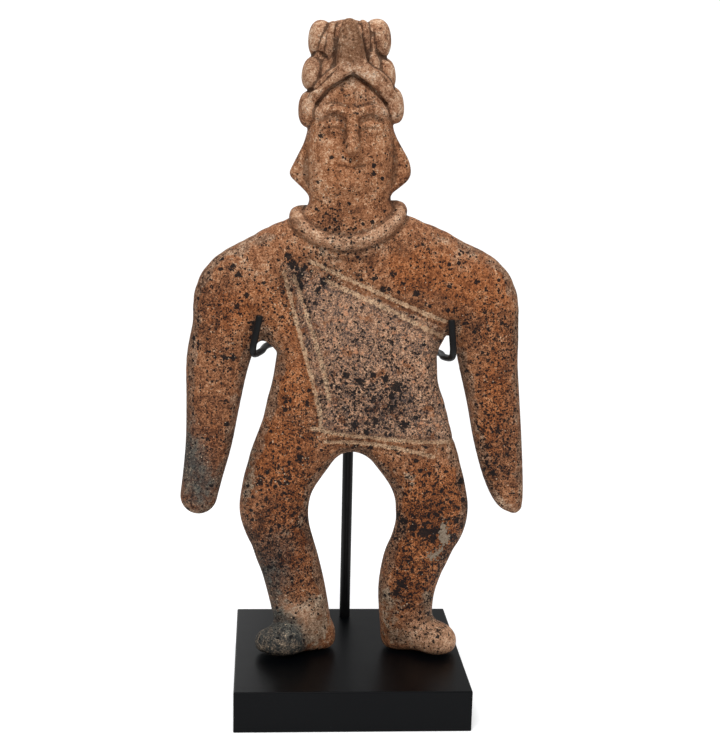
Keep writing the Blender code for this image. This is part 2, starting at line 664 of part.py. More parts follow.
def main():
    for old in list(bpy.data.objects):
        bpy.data.objects.remove(old, do_unlink=True)
    clay = material("fired_clay", (0.52, 0.27, 0.15), 0.6)
    black = material("black_lacquer", (0.012, 0.012, 0.013), 0.45)
    steel = material("black_steel", (0.015, 0.015, 0.016), 0.5, 0.3)

    points, faces = figure_skin()
    points[:, 2] += BASE_HEIGHT + TOUCH_GAP
    figure = add_object("figure", points, faces, clay)
    fewer = figure.modifiers.new("fewer_faces", "DECIMATE")
    fewer.ratio = min(1.0, FIGURE_TRIANGLES / (2 * len(faces)))

    rod_x, rod_y = ROD_OFFSET, BASE_DEPTH / 2 - ROD_SETBACK
    floor = BASE_HEIGHT - ROD_HOLE_DEPTH
    base = block("stand_base", BASE_WIDTH, BASE_DEPTH, BASE_HEIGHT, BASE_ARRIS, black)
    drill = cylinder("rod_hole_cutter", rod_x, rod_y, floor, BASE_HEIGHT + 0.01,
                     ROD_DIAMETER / 2 + ROD_HOLE_CLEARANCE, black)
    drill.hide_render = True
    drill.display_type = "WIRE"
    hole = base.modifiers.new("rod_hole", "BOOLEAN")
    hole.operation = "DIFFERENCE"
    hole.solver = "EXACT"
    hole.object = drill

    left = hook_path(-1, (41.4, 155.0), (44.2, 141.0), (43.6, 137.7), (40.6, 137.2), (36.2, 137.8))
    right = hook_path(1, (41.3, 154.2), (42.5, 140.6), (42.2, 137.0), (40.2, 135.5), (38.6, 135.0))
    wire("hook_left", left, WIRE_DIAMETER / 2, steel)
    wire("hook_right", right, WIRE_DIAMETER / 2, steel)
    top = max(left[-1][2], right[-1][2]) + ROD_ABOVE_HOOKS
    cylinder("stand_rod", rod_x, rod_y, floor + TOUCH_GAP, top, ROD_DIAMETER / 2, steel)


main()
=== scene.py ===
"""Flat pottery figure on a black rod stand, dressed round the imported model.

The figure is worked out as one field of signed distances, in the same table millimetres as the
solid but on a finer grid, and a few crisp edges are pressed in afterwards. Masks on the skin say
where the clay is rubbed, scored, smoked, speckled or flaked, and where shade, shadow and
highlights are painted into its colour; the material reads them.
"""
import math
from functools import reduce
from itertools import product

import bpy
import numpy as np
from bpy.props import FloatProperty, FloatVectorProperty, PointerProperty
from mathutils import Matrix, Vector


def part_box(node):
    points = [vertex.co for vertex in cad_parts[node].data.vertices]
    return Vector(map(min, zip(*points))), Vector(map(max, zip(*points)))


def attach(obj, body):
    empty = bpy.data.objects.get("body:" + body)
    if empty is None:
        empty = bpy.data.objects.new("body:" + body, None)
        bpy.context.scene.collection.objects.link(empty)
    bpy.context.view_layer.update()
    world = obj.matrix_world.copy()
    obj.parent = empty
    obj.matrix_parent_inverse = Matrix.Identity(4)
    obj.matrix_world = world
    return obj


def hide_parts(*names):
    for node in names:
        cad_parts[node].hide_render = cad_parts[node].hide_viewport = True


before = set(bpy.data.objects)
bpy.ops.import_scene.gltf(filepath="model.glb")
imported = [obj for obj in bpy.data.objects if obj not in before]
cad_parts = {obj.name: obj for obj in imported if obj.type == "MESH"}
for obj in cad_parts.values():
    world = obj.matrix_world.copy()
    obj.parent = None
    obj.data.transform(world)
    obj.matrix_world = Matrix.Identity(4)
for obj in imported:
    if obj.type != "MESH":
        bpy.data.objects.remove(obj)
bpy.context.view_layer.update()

bl_info = {
    "name": "Pottery Figure on a Rod Stand",
    "version": (1, 0, 0),
    "blender": (4, 5, 0),
    "location": "3D View > Sidebar > Pottery",
    "description": "Builds a flat pottery figure, its square base, rod and wire hooks",
    "category": "Add Mesh",
}

# The tables below give the form in millimetres at this drawn height, measured from the soles.
DRAWN_HEIGHT = 280.7
FIGURE_HEIGHT = 0.2807
MM = FIGURE_HEIGHT / DRAWN_HEIGHT
BODY_HALF_DEPTH = 10.8

# Stand: metres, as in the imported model.
BASE_LOW, BASE_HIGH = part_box("stand_base")
ROD_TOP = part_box("stand_rod")[1][2]
BASE_WIDTH = BASE_HIGH[0] - BASE_LOW[0]
BASE_DEPTH = BASE_HIGH[1] - BASE_LOW[1]
BASE_HEIGHT = BASE_HIGH[2] - BASE_LOW[2]
ROD_DIAMETER = 0.005
ROD_OFFSET = 0.0012
ROD_SETBACK = 0.0105
ROD_PLACE = (ROD_OFFSET, BASE_DEPTH / 2 - ROD_SETBACK)
WIRE_DIAMETER = 0.003
PRONG_CLEARANCE = 0.0016
PRONG_TURN = 0.0035
TOUCH_GAP = 0.0003
ROD_EDGE = 0.0004
ROD_ROWS = 40
WIRE_EDGE = 0.00035

# Trunk: height, middle, half width; and the heights where it ends.
TORSO = (
    (86, 1.4, 44.8), (97, 1.5, 42.0), (107, 0.0, 37.8), (117, 0.2, 37.2), (127, 1.0, 36.1),
    (137, 1.4, 35.1), (143, -0.2, 38.3), (149, -1.2, 40.4), (165, 0.3, 43.7), (186, 0.6, 38.0),
)
CROTCH, SHOULDERS = 92.3, 187.4

# Limbs: x, z, half width, half depth. "left" is the viewer's left.
ARM_LEFT = (
    (-12, 177.8, 24.0, 10.5), (-38, 170.6, 18.9, 10.5), (-52.4, 163.0, 17.0, 10.2),
    (-55.9, 148, 15.1, 10.0), (-59.6, 133, 14.0, 9.6), (-61.5, 115, 12.1, 9.0),
    (-63.3, 97, 10.5, 8.3), (-65.9, 82, 9.1, 7.6), (-67.8, 71.6, 8.4, 6.6),
)
ARM_RIGHT = (
    (10, 177.8, 24.0, 10.5), (38, 170.6, 18.9, 10.5), (53.6, 163.0, 17.7, 10.2),
    (58.2, 148, 15.2, 10.0), (60.3, 133, 13.4, 9.6), (63.0, 117, 12.1, 9.0),
    (65.6, 100, 11.1, 8.3), (68.6, 84, 9.4, 7.4), (71.5, 73, 7.0, 6.2), (74.2, 67.9, 3.9, 4.6),
)
LEG_LEFT = (
    (-19.2, 106, 18.2, 10.6), (-23.2, 97, 17.6, 10.6), (-27.0, 90, 16.8, 10.6),
    (-30.0, 84, 16.1, 10.6), (-32.3, 78, 15.7, 10.4), (-33.6, 72, 15.5, 10.3),
    (-34.2, 66, 15.5, 10.2), (-33.2, 60, 14.7, 10.1), (-31.3, 54, 13.8, 10.0),
    (-29.1, 47, 13.6, 9.9), (-26.7, 40, 13.3, 9.8), (-23.6, 28, 13.1, 9.4),
    (-20.7, 14, 12.7, 8.8), (-18.8, 4, 12.2, 7.0), (-17.5, -6, 11.8, 6.0),
)
LEG_RIGHT = (
    (21.6, 106, 20.6, 10.6), (26.0, 97, 18.7, 10.6), (29.6, 90, 17.3, 10.6),
    (32.6, 84, 16.6, 10.6), (34.9, 78, 16.3, 10.4), (36.4, 72, 16.2, 10.3),
    (37.1, 66, 16.4, 10.2), (36.6, 60, 15.7, 10.1), (34.5, 54, 14.5, 10.0),
    (32.0, 47, 14.0, 9.9), (29.1, 40, 13.8, 9.8), (26.6, 28, 12.9, 9.4),
    (26.6, 14, 11.9, 8.8), (27.2, 4, 11.2, 7.0), (27.8, -6, 10.8, 6.0),
)
HEAD = (
    (-3.2, 190, 17.3, 10.0), (-3.0, 203, 17.6, 10.6), (-3.2, 214, 18.6, 12.4),
    (-3.4, 230, 18.9, 12.6), (-3.8, 246, 17.0, 11.5),
)
HEADDRESS = ((-5, 248, 16.4, 8.5), (-5, 262, 15.2, 8.5), (-5, 266, 14.0, 8.2))

# Feet: x, y, z, radius from the heel forward to the toes.
FOOT_LEFT = ((-13, 3.5, 6, 7), (-22, -3.0, 6.5, 8.2), (-29.5, -8.0, 6.0, 8.4), (-36, -6, 4.6, 6.2))
FOOT_RIGHT = ((24, 4, 6, 7), (33, -1.5, 6.5, 8.0), (40, -7.2, 6.0, 8.4), (43.6, -4.5, 4.6, 6.1))

# Padded tufts of the headdress: middle, half sizes, sideways lean in radians.
TUFTS = (
    ((-16.9, -0.5, 271.4), (5.2, 8.5, 8.2), 0.04), ((-19.8, -0.5, 257.3), (4.8, 8.5, 7.2), 0.14),
    ((-21.3, -0.5, 242.3), (4.6, 8.0, 7.7), 0.02), ((7.2, -0.5, 272.1), (5.9, 8.5, 8.6), -0.08),
    ((10.6, -0.5, 257.5), (4.8, 8.5, 7.2), -0.14), ((14.9, -0.5, 244.7), (4.4, 8.0, 7.8), -0.12),
    ((-12.4, -4.2, 271.2), (3.3, 6.0, 8.0), 0.12), ((0.9, -4.4, 271.8), (3.2, 6.0, 8.2), -0.05),
    ((-13.8, -4.6, 258.6), (3.4, 6.0, 6.6), 0.25), ((5.4, -4.6, 260.8), (3.2, 6.0, 7.0), -0.25),
)
CROWN = ((-5, 2, 272.4), (13.6, 8, 7.4))

# Ears: flat flaps with these corners seen from the front, anticlockwise.
EARS = (
    ((-14, 236), (-19, 236.5), (-29.9, 214.6), (-20.5, 205.8), (-14, 206)),
    ((8, 208), (15, 206.9), (23.2, 213.6), (23.5, 219.6), (12.5, 238), (8, 236)),
)

# Flat forehead strap (x, z, half width, front reach) rising to a middle peak, and the horn
# that stands on the peak.
STRAP = (
    (-20.8, 244.6, 1.8, 8.0), (-17.6, 250.2, 2.5, 11.2), (-13.2, 254.6, 3.0, 13.4),
    (-8.0, 258.2, 3.3, 15.0), (-3.4, 261.4, 3.4, 15.4), (1.6, 258.6, 3.8, 14.8),
    (6.8, 254.9, 4.0, 13.2), (11.2, 250.6, 3.7, 10.8), (14.4, 245.6, 2.8, 7.6),
)
HORN = ((-4.2, -8.0, 263.0, 7.6), (-4.8, -11.2, 267.0, 6.5), (-5.3, -14.0, 271.8, 5.3),
        (-5.6, -15.4, 276.0, 3.9))

# The fold of cloth on the chest below the rolled collar: x, y, z, radius.
FOLD = ((-18.0, -9.0, 187.4, 2.4), (-11.0, -9.8, 183.8, 2.7), (-3.6, -10.0, 182.6, 2.7),
        (3.6, -9.8, 183.8, 2.7), (9.8, -9.0, 187.2, 2.4))

# Lines drawn in the clay with a point: corners in x and z, then width and depth.
LINES = (
    (((-31.2, 173), (-27.8, 160.5), (-22.5, 141), (-15.4, 114.2), (-14.3, 105.6)), 0.8, 0.9),
    (((-26.8, 172), (-24.3, 164), (-18.6, 147), (-13.1, 129.2), (-11, 118)), 0.8, 0.9),
    (((-20, 178.4), (-10, 173.6), (11, 164.5), (28, 157.2), (39.5, 152.6)), 0.8, 0.9),
    (((-13, 170), (-3, 165.6), (14, 158), (28, 151), (38.5, 145.6)), 0.8, 0.9),
    (((-18, 104.8), (-3, 101.8), (22, 99.6), (45, 98.3)), 0.9, 0.9),
    (((-12, 98.6), (5, 98), (22, 95.6), (36, 92.3)), 0.8, 0.8),
    (((-18.0, 244.6), (-13.2, 250.6), (-8.2, 254.2), (-3.9, 257.0), (-2.6, 256.8), (4.2, 252.0),
      (11.0, 245.4)), 0.9, 1.5),
)

# The panel of cloth between the sash and the belt stands a little proud.
PANEL = ((-31, 178), (-14.3, 105), (-3, 101.6), (45, 98), (40, 150))
PANEL_RISE = 0.45


def smooth_min(a, b, k):
    """The lesser of a and b, rounded over the width k where they meet."""
    h = np.clip(0.5 + 0.5 * (b - a) / k, 0, 1)
    return b + (a - b) * h - k * h * (1 - h)


def smooth_max(a, b, k):
    """The greater of a and b, rounded over the width k where they meet."""
    return -smooth_min(-a, -b, k)


def soft(far, width):
    """1 on a line, fading to nothing beyond about its width."""
    return np.exp(-(far / width) ** 2)


def curve(points, steps=4):
    """Smooth curve through the rows of points, each stretch cut into steps."""
    p = np.asarray(points, float)
    p = np.vstack([2 * p[0] - p[1], p, 2 * p[-1] - p[-2]])
    t = np.linspace(0, 1, steps, endpoint=False)[:, None]
    rows = []
    for a, b, c, d in zip(p[:-3], p[1:-2], p[2:-1], p[3:]):
        square = (2 * a - 5 * b + 4 * c - d) * t ** 2
        cube = (3 * b - a - 3 * c + d) * t ** 3
        rows.append(0.5 * (2 * b + (c - a) * t + square + cube))
    return np.vstack(rows + [p[-2:-1]])


# How a cross section turns its corners: sharpness of the corners, and how much they are cut.
ROUNDED = (4.0, 0.55)
BEVELLED = (9.0, 0.68)
SQUARE = (12.0, 0.58)


def stretch(x, z, a, b):
    """Where between a and b, 0 to 1, the place nearest to each point lies, and how far off."""
    dx, dz = b[0] - a[0], b[1] - a[1]
    t = np.clip(((x - a[0]) * dx + (z - a[1]) * dz) / (dx * dx + dz * dz), 0, 1)
    return t, np.hypot(x - a[0] - t * dx, z - a[1] - t * dz)


def limb(x, z, stations, corner):
    """Front view of a flat limb: signed distance, half depth, half width and corner form."""
    rows = curve(stations)
    best = None
    for a, b in zip(rows[:-1], rows[1:]):
        t, far = stretch(x, z, a, b)
        half = a[2] + (b[2] - a[2]) * t
        far = far - half
        deep = a[3] + (b[3] - a[3]) * t
        if best is None:
            best, depth, width = far, deep, half
        else:
            near = far < best
            best = np.where(near, far, best)
            depth = np.where(near, deep, depth)
            width = np.where(near, half, width)
    return best, depth, width, np.full_like(best, corner[0]), np.full_like(best, corner[1])


def trunk(x, z):
    """Front view of the trunk: a band about its middle line, closed at crotch and shoulders."""
    rows = np.array(TORSO, float)
    middle = np.interp(z, rows[:, 0], rows[:, 1])
    half = np.interp(z, rows[:, 0], rows[:, 2])
    f = np.abs(x - middle) - half
    f = smooth_max(f, CROTCH - z, 4)
    f = smooth_max(f, z - SHOULDERS, 12)
    one = np.ones_like(f)
    return f, one * BODY_HALF_DEPTH, one * 19, one * BEVELLED[0], one * BEVELLED[1]


def blend(a, b, k):
    """Two front views run into one over the width k, with their depths mixed alike."""
    h = np.clip(0.5 + 0.5 * (b[0] - a[0]) / k, 0, 1)
    f = b[0] + (a[0] - b[0]) * h - k * h * (1 - h)
    return (f,) + tuple(q + (p - q) * h for p, q in zip(a[1:], b[1:]))


def front_views(x, z):
    """The flat parts seen from the front: body with limbs, head, and headdress."""
    body = blend(trunk(x, z), limb(x, z, ARM_LEFT, ROUNDED), 9)
    body = blend(body, limb(x, z, ARM_RIGHT, ROUNDED), 9)
    body = blend(body, limb(x, z, LEG_LEFT, BEVELLED), 6)
    body = blend(body, limb(x, z, LEG_RIGHT, BEVELLED), 6)
    return body, limb(x, z, HEAD, ROUNDED), limb(x, z, HEADDRESS, SQUARE)


def slab(y, view, rim, middle=0.0):
    """Solid of a front view, as deep as the view says, with its corners cut and rounded.

    With u rising from 0 inside to 1 at the outline and v from 0 in mid depth to 1 at the face,
    the skin is where u, v and a cut across the corner, each to a high power, add up to 1.
    """
    f, depth, half, sharp, cut = view
    edge = np.minimum(half * rim, 14)
    u = np.maximum(1 + f / edge, 0)
    v = np.abs((y - middle) / depth)
    q = (u ** sharp + v ** sharp + (cut * (u + v)) ** sharp) ** (1 / sharp)
    return (q - 1) * np.minimum(depth, edge)


def rod_shape(x, y, z, stations, steps=4):
    """Signed distance to a round limb through stations of x, y, z and radius."""
    rows = curve(stations, steps)

    def piece(a, b):
        d = b[:3] - a[:3]
        px, py, pz = x - a[0], y - a[1], z - a[2]
        t = np.clip((px * d[0] + py * d[1] + pz * d[2]) / (d @ d), 0, 1)
        far = np.sqrt((px - t * d[0]) ** 2 + (py - t * d[1]) ** 2 + (pz - t * d[2]) ** 2)
        return far - (a[3] + (b[3] - a[3]) * t)

    return reduce(np.minimum, map(piece, rows[:-1], rows[1:]))


def lump_shape(x, y, z, middle, half, lean=0.0, boxy=2.0):
    """Signed distance to an oval lump, leaning sideways and squared off by boxy."""
    u, w = x - middle[0], z - middle[2]
    a = u * math.cos(lean) - w * math.sin(lean)
    b = u * math.sin(lean) + w * math.cos(lean)
    q = np.abs(a / half[0]) ** boxy + np.abs((y - middle[1]) / half[1]) ** boxy
    q = (q + np.abs(b / half[2]) ** boxy) ** (1 / boxy)
    return (q - 1) * min(half)


def corners_shape(x, z, corners, round_off):
    """Signed distance to a convex outline seen from the front."""
    far = None
    for i, first in enumerate(corners):
        last = corners[(i + 1) % len(corners)]
        ex, ez = last[0] - first[0], last[1] - first[1]
        long = math.hypot(ex, ez)
        d = ((x - first[0]) * ez - (z - first[1]) * ex) / long
        far = d if far is None else smooth_max(far, d, round_off)
    return far


def line_distance(x, z, points):
    """Distance in the front view to a smooth line through the points."""
    rows = curve(points, 3)
    return reduce(np.minimum, (stretch(x, z, a, b)[1] for a, b in zip(rows[:-1], rows[1:])))


class Clay:
    """Points in space and the signed distance from each to the clay put on so far."""

    def __init__(self, x, y, z, f):
        self.x, self.y, self.z, self.f = x, y, z, f

    def near(self, low, high, reach):
        """The points inside a box widened by reach."""
        mask = np.ones(len(self.x), bool)
        for q, a, b in zip((self.x, self.y, self.z), low, high):
            mask &= (q > a - reach) & (q < b + reach)
        return np.nonzero(mask)[0]

    def join(self, shape, low, high, fillet):
        """Run a shape into the clay with a fillet of the given width."""
        i = self.near(low, high, fillet + 5)
        if len(i):
            self.f[i] = smooth_min(self.f[i], shape(self.x[i], self.y[i], self.z[i]), fillet)

    def add_rod(self, stations, fillet, steps=4):
        p = np.array(stations, float)
        r = p[:, 3].max()
        self.join(lambda x, y, z: rod_shape(x, y, z, stations, steps),
                  p[:, :3].min(0) - r, p[:, :3].max(0) + r, fillet)

    def add_lump(self, middle, half, fillet, lean=0.0, boxy=2.0):
        c = np.array(middle, float)
        wide = max(half[0], half[2])
        r = np.array([wide, half[1], wide])
        self.join(lambda x, y, z: lump_shape(x, y, z, middle, half, lean, boxy),
                  c - r, c + r, fillet)

    def groove(self, points, width, depth):
        """Press a rounded line into the front, as deep as depth along its middle."""
        p = np.array(points, float)
        low, high = p.min(0), p.max(0)
        i = self.near((low[0], -30, low[1]), (high[0], 2, high[1]), 3 * width)
        if len(i):
            d = line_distance(self.x[i], self.z[i], points)
            front = np.clip((2 - self.y[i]) / 4, 0, 1)
            self.f[i] += depth * soft(d, width) * front


def strap_shape(x, y, z):
    """Signed distance to the flat strap: its front view, cut off at its front reach."""
    far, reach = limb(x, z, STRAP, SQUARE)[:2]
    return smooth_max(far, -y - reach, 1.4)


def collar_ring():
    """The rolled collar: a tilted ring round the neck, sagging towards the front."""
    t = np.linspace(0, 2 * math.pi, 33)
    x = -3.6 + 22.6 * np.sin(t)
    y = -1.3 - 10.9 * np.cos(t)
    z = 198.4 - 5.6 * np.cos(t) - 6.4 * np.cos(t) ** 2 + 1.6 * np.sin(t)
    return np.stack([x, y, z, 3.1 + 0 * t], 1)


def add_face(clay):
    """A calm, plain face laid out in equal thirds between chin and hair line."""
    middle, chin, hair = -3.3, 208.0, 258.0
    third = (hair - chin) / 3
    brow, nose = hair - third, chin + third
    eye, mouth = (chin + 262) / 2, chin + third * 0.66
    clay.add_rod(((middle, -12.3, brow - 0.5, 2.0), (middle, -14.6, eye - 2, 2.5),
                  (middle, -17.2, nose + 2, 3.3)), 2.4)
    for side in (-1, 1):
        clay.add_rod(((middle + side * 2.5, -12.9, brow, 1.2),
                      (middle + side * 8.5, -12.4, brow + 1.6, 1.4),
                      (middle + side * 14, -9.6, brow - 0.2, 1.2)), 2.5)
        clay.add_lump((middle + side * 8.4, -11.4, eye), (5.2, 2.1, 2.6), 1.5)
        clay.groove(((middle + side * 4.2, eye - 0.6), (middle + side * 8.2, eye + 0.1),
                     (middle + side * 11.8, eye - 0.4)), 0.7, 1.0)
    clay.add_lump((middle, -11.2, mouth), (6.4, 2.6, 3.0), 2)
    clay.groove(((middle - 5.4, mouth + 0.3), (middle, mouth - 0.3), (middle + 5.4, mouth + 0.3)),
                0.7, 1.2)
    clay.add_lump((middle, -10.4, chin + 4.5), (8.0, 4.0, 4.6), 3)


def clay_distance(x, y, z, views):
    """Signed distance from points to the whole figure, given its front views at those points."""
    body, head, dress = views
    f = slab(y, body, 0.8)
    f = smooth_min(f, slab(y, head, 0.85, -0.4), 5)
    clay = Clay(x, y, z, f)
    clay.add_rod(FOOT_LEFT, 4)
    clay.add_rod(FOOT_RIGHT, 4)
    clay.f = smooth_max(clay.f, -z, 3.5)
    clay.f = smooth_min(clay.f, slab(y, dress, 0.5, 2.0), 2)
    clay.add_lump(*CROWN, 1.6)
    for middle, half, lean in TUFTS:
        clay.add_lump(middle, half, 0.5, lean, 2.3)
    for corners in EARS:
        p = np.array(corners)
        clay.join(lambda x, y, z: smooth_max(corners_shape(x, z, corners, 2.5),
                                             np.abs(y - 0.5) - 3.6, 3),
                  (p[:, 0].min(), -3.5, p[:, 1].min()), (p[:, 0].max(), 4.5, p[:, 1].max()), 2.2)
    clay.add_rod(FOLD, 1.4)
    clay.add_rod(collar_ring(), 0.4, 1)
    p = np.array(STRAP)
    clay.join(strap_shape, (p[:, 0].min() - 4, -16, p[:, 1].min() - 4),
              (p[:, 0].max() + 4, 0, p[:, 1].max() + 4), 0.6)
    clay.add_rod(HORN, 1.6)
    add_face(clay)
    for points, width, depth in LINES:
        clay.groove(points, width, depth)
    i = clay.near((-35, -30, 95), (47, 2, 180), 2)
    inside = np.clip(0.5 - corners_shape(clay.x[i], clay.z[i], PANEL, 2) / 1.6, 0, 1)
    clay.f[i] -= PANEL_RISE * inside * np.clip((2 - clay.y[i]) / 4, 0, 1)
    return clay.f


def grid_line(stretches, block):
    """Coordinates at each stretch's own spacing, padded to a whole number of blocks."""
    line = np.concatenate([np.arange(a, b, s) for a, b, s in stretches])
    more = (-len(line)) % block
    return np.concatenate([line, line[-1] + (line[-1] - line[-2]) * np.arange(1, more + 1)])


def distance_grid(xs, ys, zs, block, band=4.6):
    """Distance at every grid point, exact near the surface and rough elsewhere."""
    table = front_views(xs[:, None] + 0 * zs, zs + 0 * xs[:, None])
    rough = [q.reshape(-1, block).mean(1) for q in (xs, ys, zs)]
    c = np.stack(np.meshgrid(*rough, indexing="ij"), -1).reshape(-1, 3)
    f = clay_distance(c[:, 0], c[:, 1], c[:, 2], front_views(c[:, 0], c[:, 2]))
    f = f.reshape([len(q) for q in rough])
    for way in range(3):
        f = f.repeat(block, way)
    i, j, k = np.nonzero(np.abs(f) < band)
    views = [[q[i, k] for q in view] for view in table]
    f[i, j, k] = clay_distance(xs[i], ys[j], zs[k], views)
    return without_pinches(f)


SIDES = tuple(product((0, 1), repeat=2))
CORNERS = tuple(product((0, 1), repeat=3))


def part_of(f, shift):
    """Slices of a grid without its last row each way, or its first where shift says 1."""
    return tuple(slice(None) if s is None else slice(s, n - 1 + s)
                 for s, n in zip(shift, f.shape))


def without_pinches(f, least=0.03):
    """Fill the grid corners at which the skin would touch itself along an edge or at a point."""
    for _ in range(30):
        below = f < 0
        fill = np.zeros(f.shape, bool)
        for way in range(3):
            part = {}
            for side in SIDES:
                shift = list(side)
                shift.insert(way, None)
                part[side] = part_of(f, shift)
            level, rising = (part[0, 0], part[1, 1]), (part[0, 1], part[1, 0])
            for full, bare in ((level, rising), (rising, level)):
                pinch = below[full[0]] & below[full[1]] & ~below[bare[0]] & ~below[bare[1]]
                for cut in bare:
                    fill[cut] |= pinch
        cell = {corner: part_of(f, corner) for corner in CORNERS}
        count = sum(below[cut].astype(int) for cut in cell.values())
        for a, b, c in ((0, 0, 0), (1, 0, 0), (0, 1, 0), (0, 0, 1)):
            one, two = cell[a, b, c], cell[1 - a, 1 - b, 1 - c]
            lone = (count == 2) & below[one] & below[two]
            gap = (count == 6) & ~below[one] & ~below[two]
            fill[cell[1 - a, b, c]] |= lone
            fill[one] |= gap
        fill &= ~below
        if not fill.any():
            break
        f[fill] = -least
    return f


def surface_of(f, lines):
    """Closed skin of four-sided faces round the part of the grid where f is below zero."""
    below = f < 0
    count = sum(below[part_of(f, corner)].astype(int) for corner in CORNERS)
    active = (count > 0) & (count < 8)
    cells = np.argwhere(active)
    number = np.full(active.shape, -1)
    number[active] = np.arange(len(cells))
    total, hits, faces = np.zeros((len(cells), 3)), np.zeros(len(cells)), []
    for way in range(3):
        p, q = [r for r in range(3) if r != way]
        for a, b in SIDES:
            start = cells.copy()
            start[:, p] += a
            start[:, q] += b
            end = start.copy()
            end[:, way] += 1
            fa, fb = f[tuple(start.T)], f[tuple(end.T)]
            cross = (fa < 0) != (fb < 0)
            t = np.where(cross, fa / np.where(cross, fa - fb, 1), 0)
            for r in range(3):
                ca, cb = lines[r][start[:, r]], lines[r][end[:, r]]
                total[:, r] += np.where(cross, ca + (cb - ca) * t, 0)
            hits += cross
        edge = np.argwhere(np.diff(below, axis=way))
        keep = (edge[:, p] > 0) & (edge[:, q] > 0)
        keep &= (edge[:, p] < active.shape[p]) & (edge[:, q] < active.shape[q])
        edge = edge[keep]
        ring = []
        for a, b in ((1, 1), (0, 1), (0, 0), (1, 0)):
            cell = edge.copy()
            cell[:, p] -= a
            cell[:, q] -= b
            ring.append(number[tuple(cell.T)])
        quad = np.stack(ring, 1)
        turn = below[tuple(edge.T)] == (way == 1)
        quad[turn] = quad[turn][:, ::-1]
        faces.append(quad)
    return largest_piece(total / hits[:, None], np.vstack(faces))


def largest_piece(points, faces):
    """Only the skin's largest piece, so that no small bubble is left inside the clay."""
    label = np.arange(len(points))
    while True:
        least = label[faces].min(1)
        lower = label.copy()
        for side in range(4):
            np.minimum.at(lower, faces[:, side], least)
        lower = lower[lower]
        if (lower == label).all():
            break
        label = lower
    keep = label == np.bincount(label).argmax()
    number = np.cumsum(keep) - 1
    return points[keep], number[faces[keep[faces[:, 0]]]]


def grid_value(f, lines, points):
    """Value of the grid at the points, run straight between its corners, and its slope."""
    i, t, w = [], [], []
    for r in range(3):
        a = np.clip(np.searchsorted(lines[r], points[:, r], side="right") - 1,
                    0, len(lines[r]) - 2)
        step = lines[r][a + 1] - lines[r][a]
        i.append(a)
        w.append(step)
        t.append((points[:, r] - lines[r][a]) / step)
    c = np.array([[[f[i[0] + a, i[1] + b, i[2] + d] for d in (0, 1)]
                   for b in (0, 1)] for a in (0, 1)])
    x, y, z = t
    cx = c[0] * (1 - x) + c[1] * x
    cxy = cx[0] * (1 - y) + cx[1] * y
    dx = c[1] - c[0]
    dxy = dx[0] * (1 - y) + dx[1] * y
    dy = cx[1] - cx[0]
    value = cxy[0] * (1 - z) + cxy[1] * z
    slope = np.stack([(dxy[0] * (1 - z) + dxy[1] * z) / w[0],
                      (dy[0] * (1 - z) + dy[1] * z) / w[1], (cxy[1] - cxy[0]) / w[2]], 1)
    return value, slope


def edges_of(faces):
    """The two corners of every side of every face."""
    return np.vstack([faces[:, [a, b]] for a, b in ((0, 1), (1, 2), (2, 3), (3, 0))])


def neighbour_mean(points, edges):
    """For every corner, the middle of the corners that share an edge with it."""
    size = len(points)
    count = np.bincount(edges.ravel(), minlength=size)[:, None]
    one, two = edges.T
    return np.stack([np.bincount(one, p[two], size) + np.bincount(two, p[one], size)
                     for p in points.T], 1) / count


def even_out(points, faces, f, lines, rounds=6):
    """Even the spacing of the corners by sliding them along the surface f = 0."""
    edges = edges_of(faces)
    for _ in range(rounds):
        mean = neighbour_mean(points, edges)
        slope = grid_value(f, lines, points)[1]
        unit = slope / np.maximum(np.linalg.norm(slope, axis=1, keepdims=True), 1e-9)
        move = (mean - points) * 0.5
        points = points + move - unit * (move * unit).sum(1, keepdims=True)
        value, slope = grid_value(f, lines, points)
        back = np.clip(value / np.maximum((slope ** 2).sum(1), 0.05), -0.6, 0.6)
        points = points - back[:, None] * slope
    return points


# Grid lines each way: stretches from, to and spacing; and how many lines a rough block spans.
GRID = (
    ((-80, -32, 1.2), (-32, 26, 0.9), (26, 84, 1.2)),
    ((-25, 19, 1.0),),
    ((-3, 86, 1.3), (86, 200, 1.1), (200, 286, 0.8)),
)
GRID_BLOCK = 3


def figure_skin():
    """Corners in table millimetres and four-sided faces of the finished figure."""
    lines = [grid_line(stretches, GRID_BLOCK) for stretches in GRID]
    f = distance_grid(*lines, GRID_BLOCK)
    points, faces = surface_of(f, lines)
    points = even_out(points, faces, f, lines)
    return finer_relief(points, faces), faces


def ease(value, low, high):
    """0 below low, 1 above high, and a smooth rise between them."""
    t = np.clip((value - low) / (high - low), 0, 1)
    return t * t * (3 - 2 * t)


# Zones of the clay as soft spots: x, z, half width, half height and strength.

# Where black specks lie thick.
SPECKLED = (
    (37, 72, 20, 22, 0.75), (35, 48, 18, 22, 0.75), (30, 30, 14, 18, 0.75), (30, 8, 22, 10, 0.2),
    (-30, 74, 22, 24, 0.6), (-32, 50, 18, 20, 0.6), (-22, 30, 14, 16, 0.35),
    (10, 122, 32, 28, 0.6), (-25, 112, 14, 24, 0.4), (64, 100, 12, 34, 0.85),
    (60, 150, 16, 18, 0.6), (-60, 150, 18, 28, 0.45), (-62, 105, 12, 30, 0.3),
    (-15, 180, 18, 12, 0.5), (30, 176, 26, 14, 0.45), (-4, 215, 18, 26, 0.12),
    (-3, 196, 24, 9, 0.2), (-3, 245, 20, 10, 0.2), (-4, 266, 18, 14, 0.1),
    (-27, 168, 10, 12, 0.45), (-33, 150, 10, 20, 0.4), (-52, 170, 8, 9, 0.25),
    (13, 112, 20, 14, 0.4), (28, 60, 14, 8, 0.3),
)
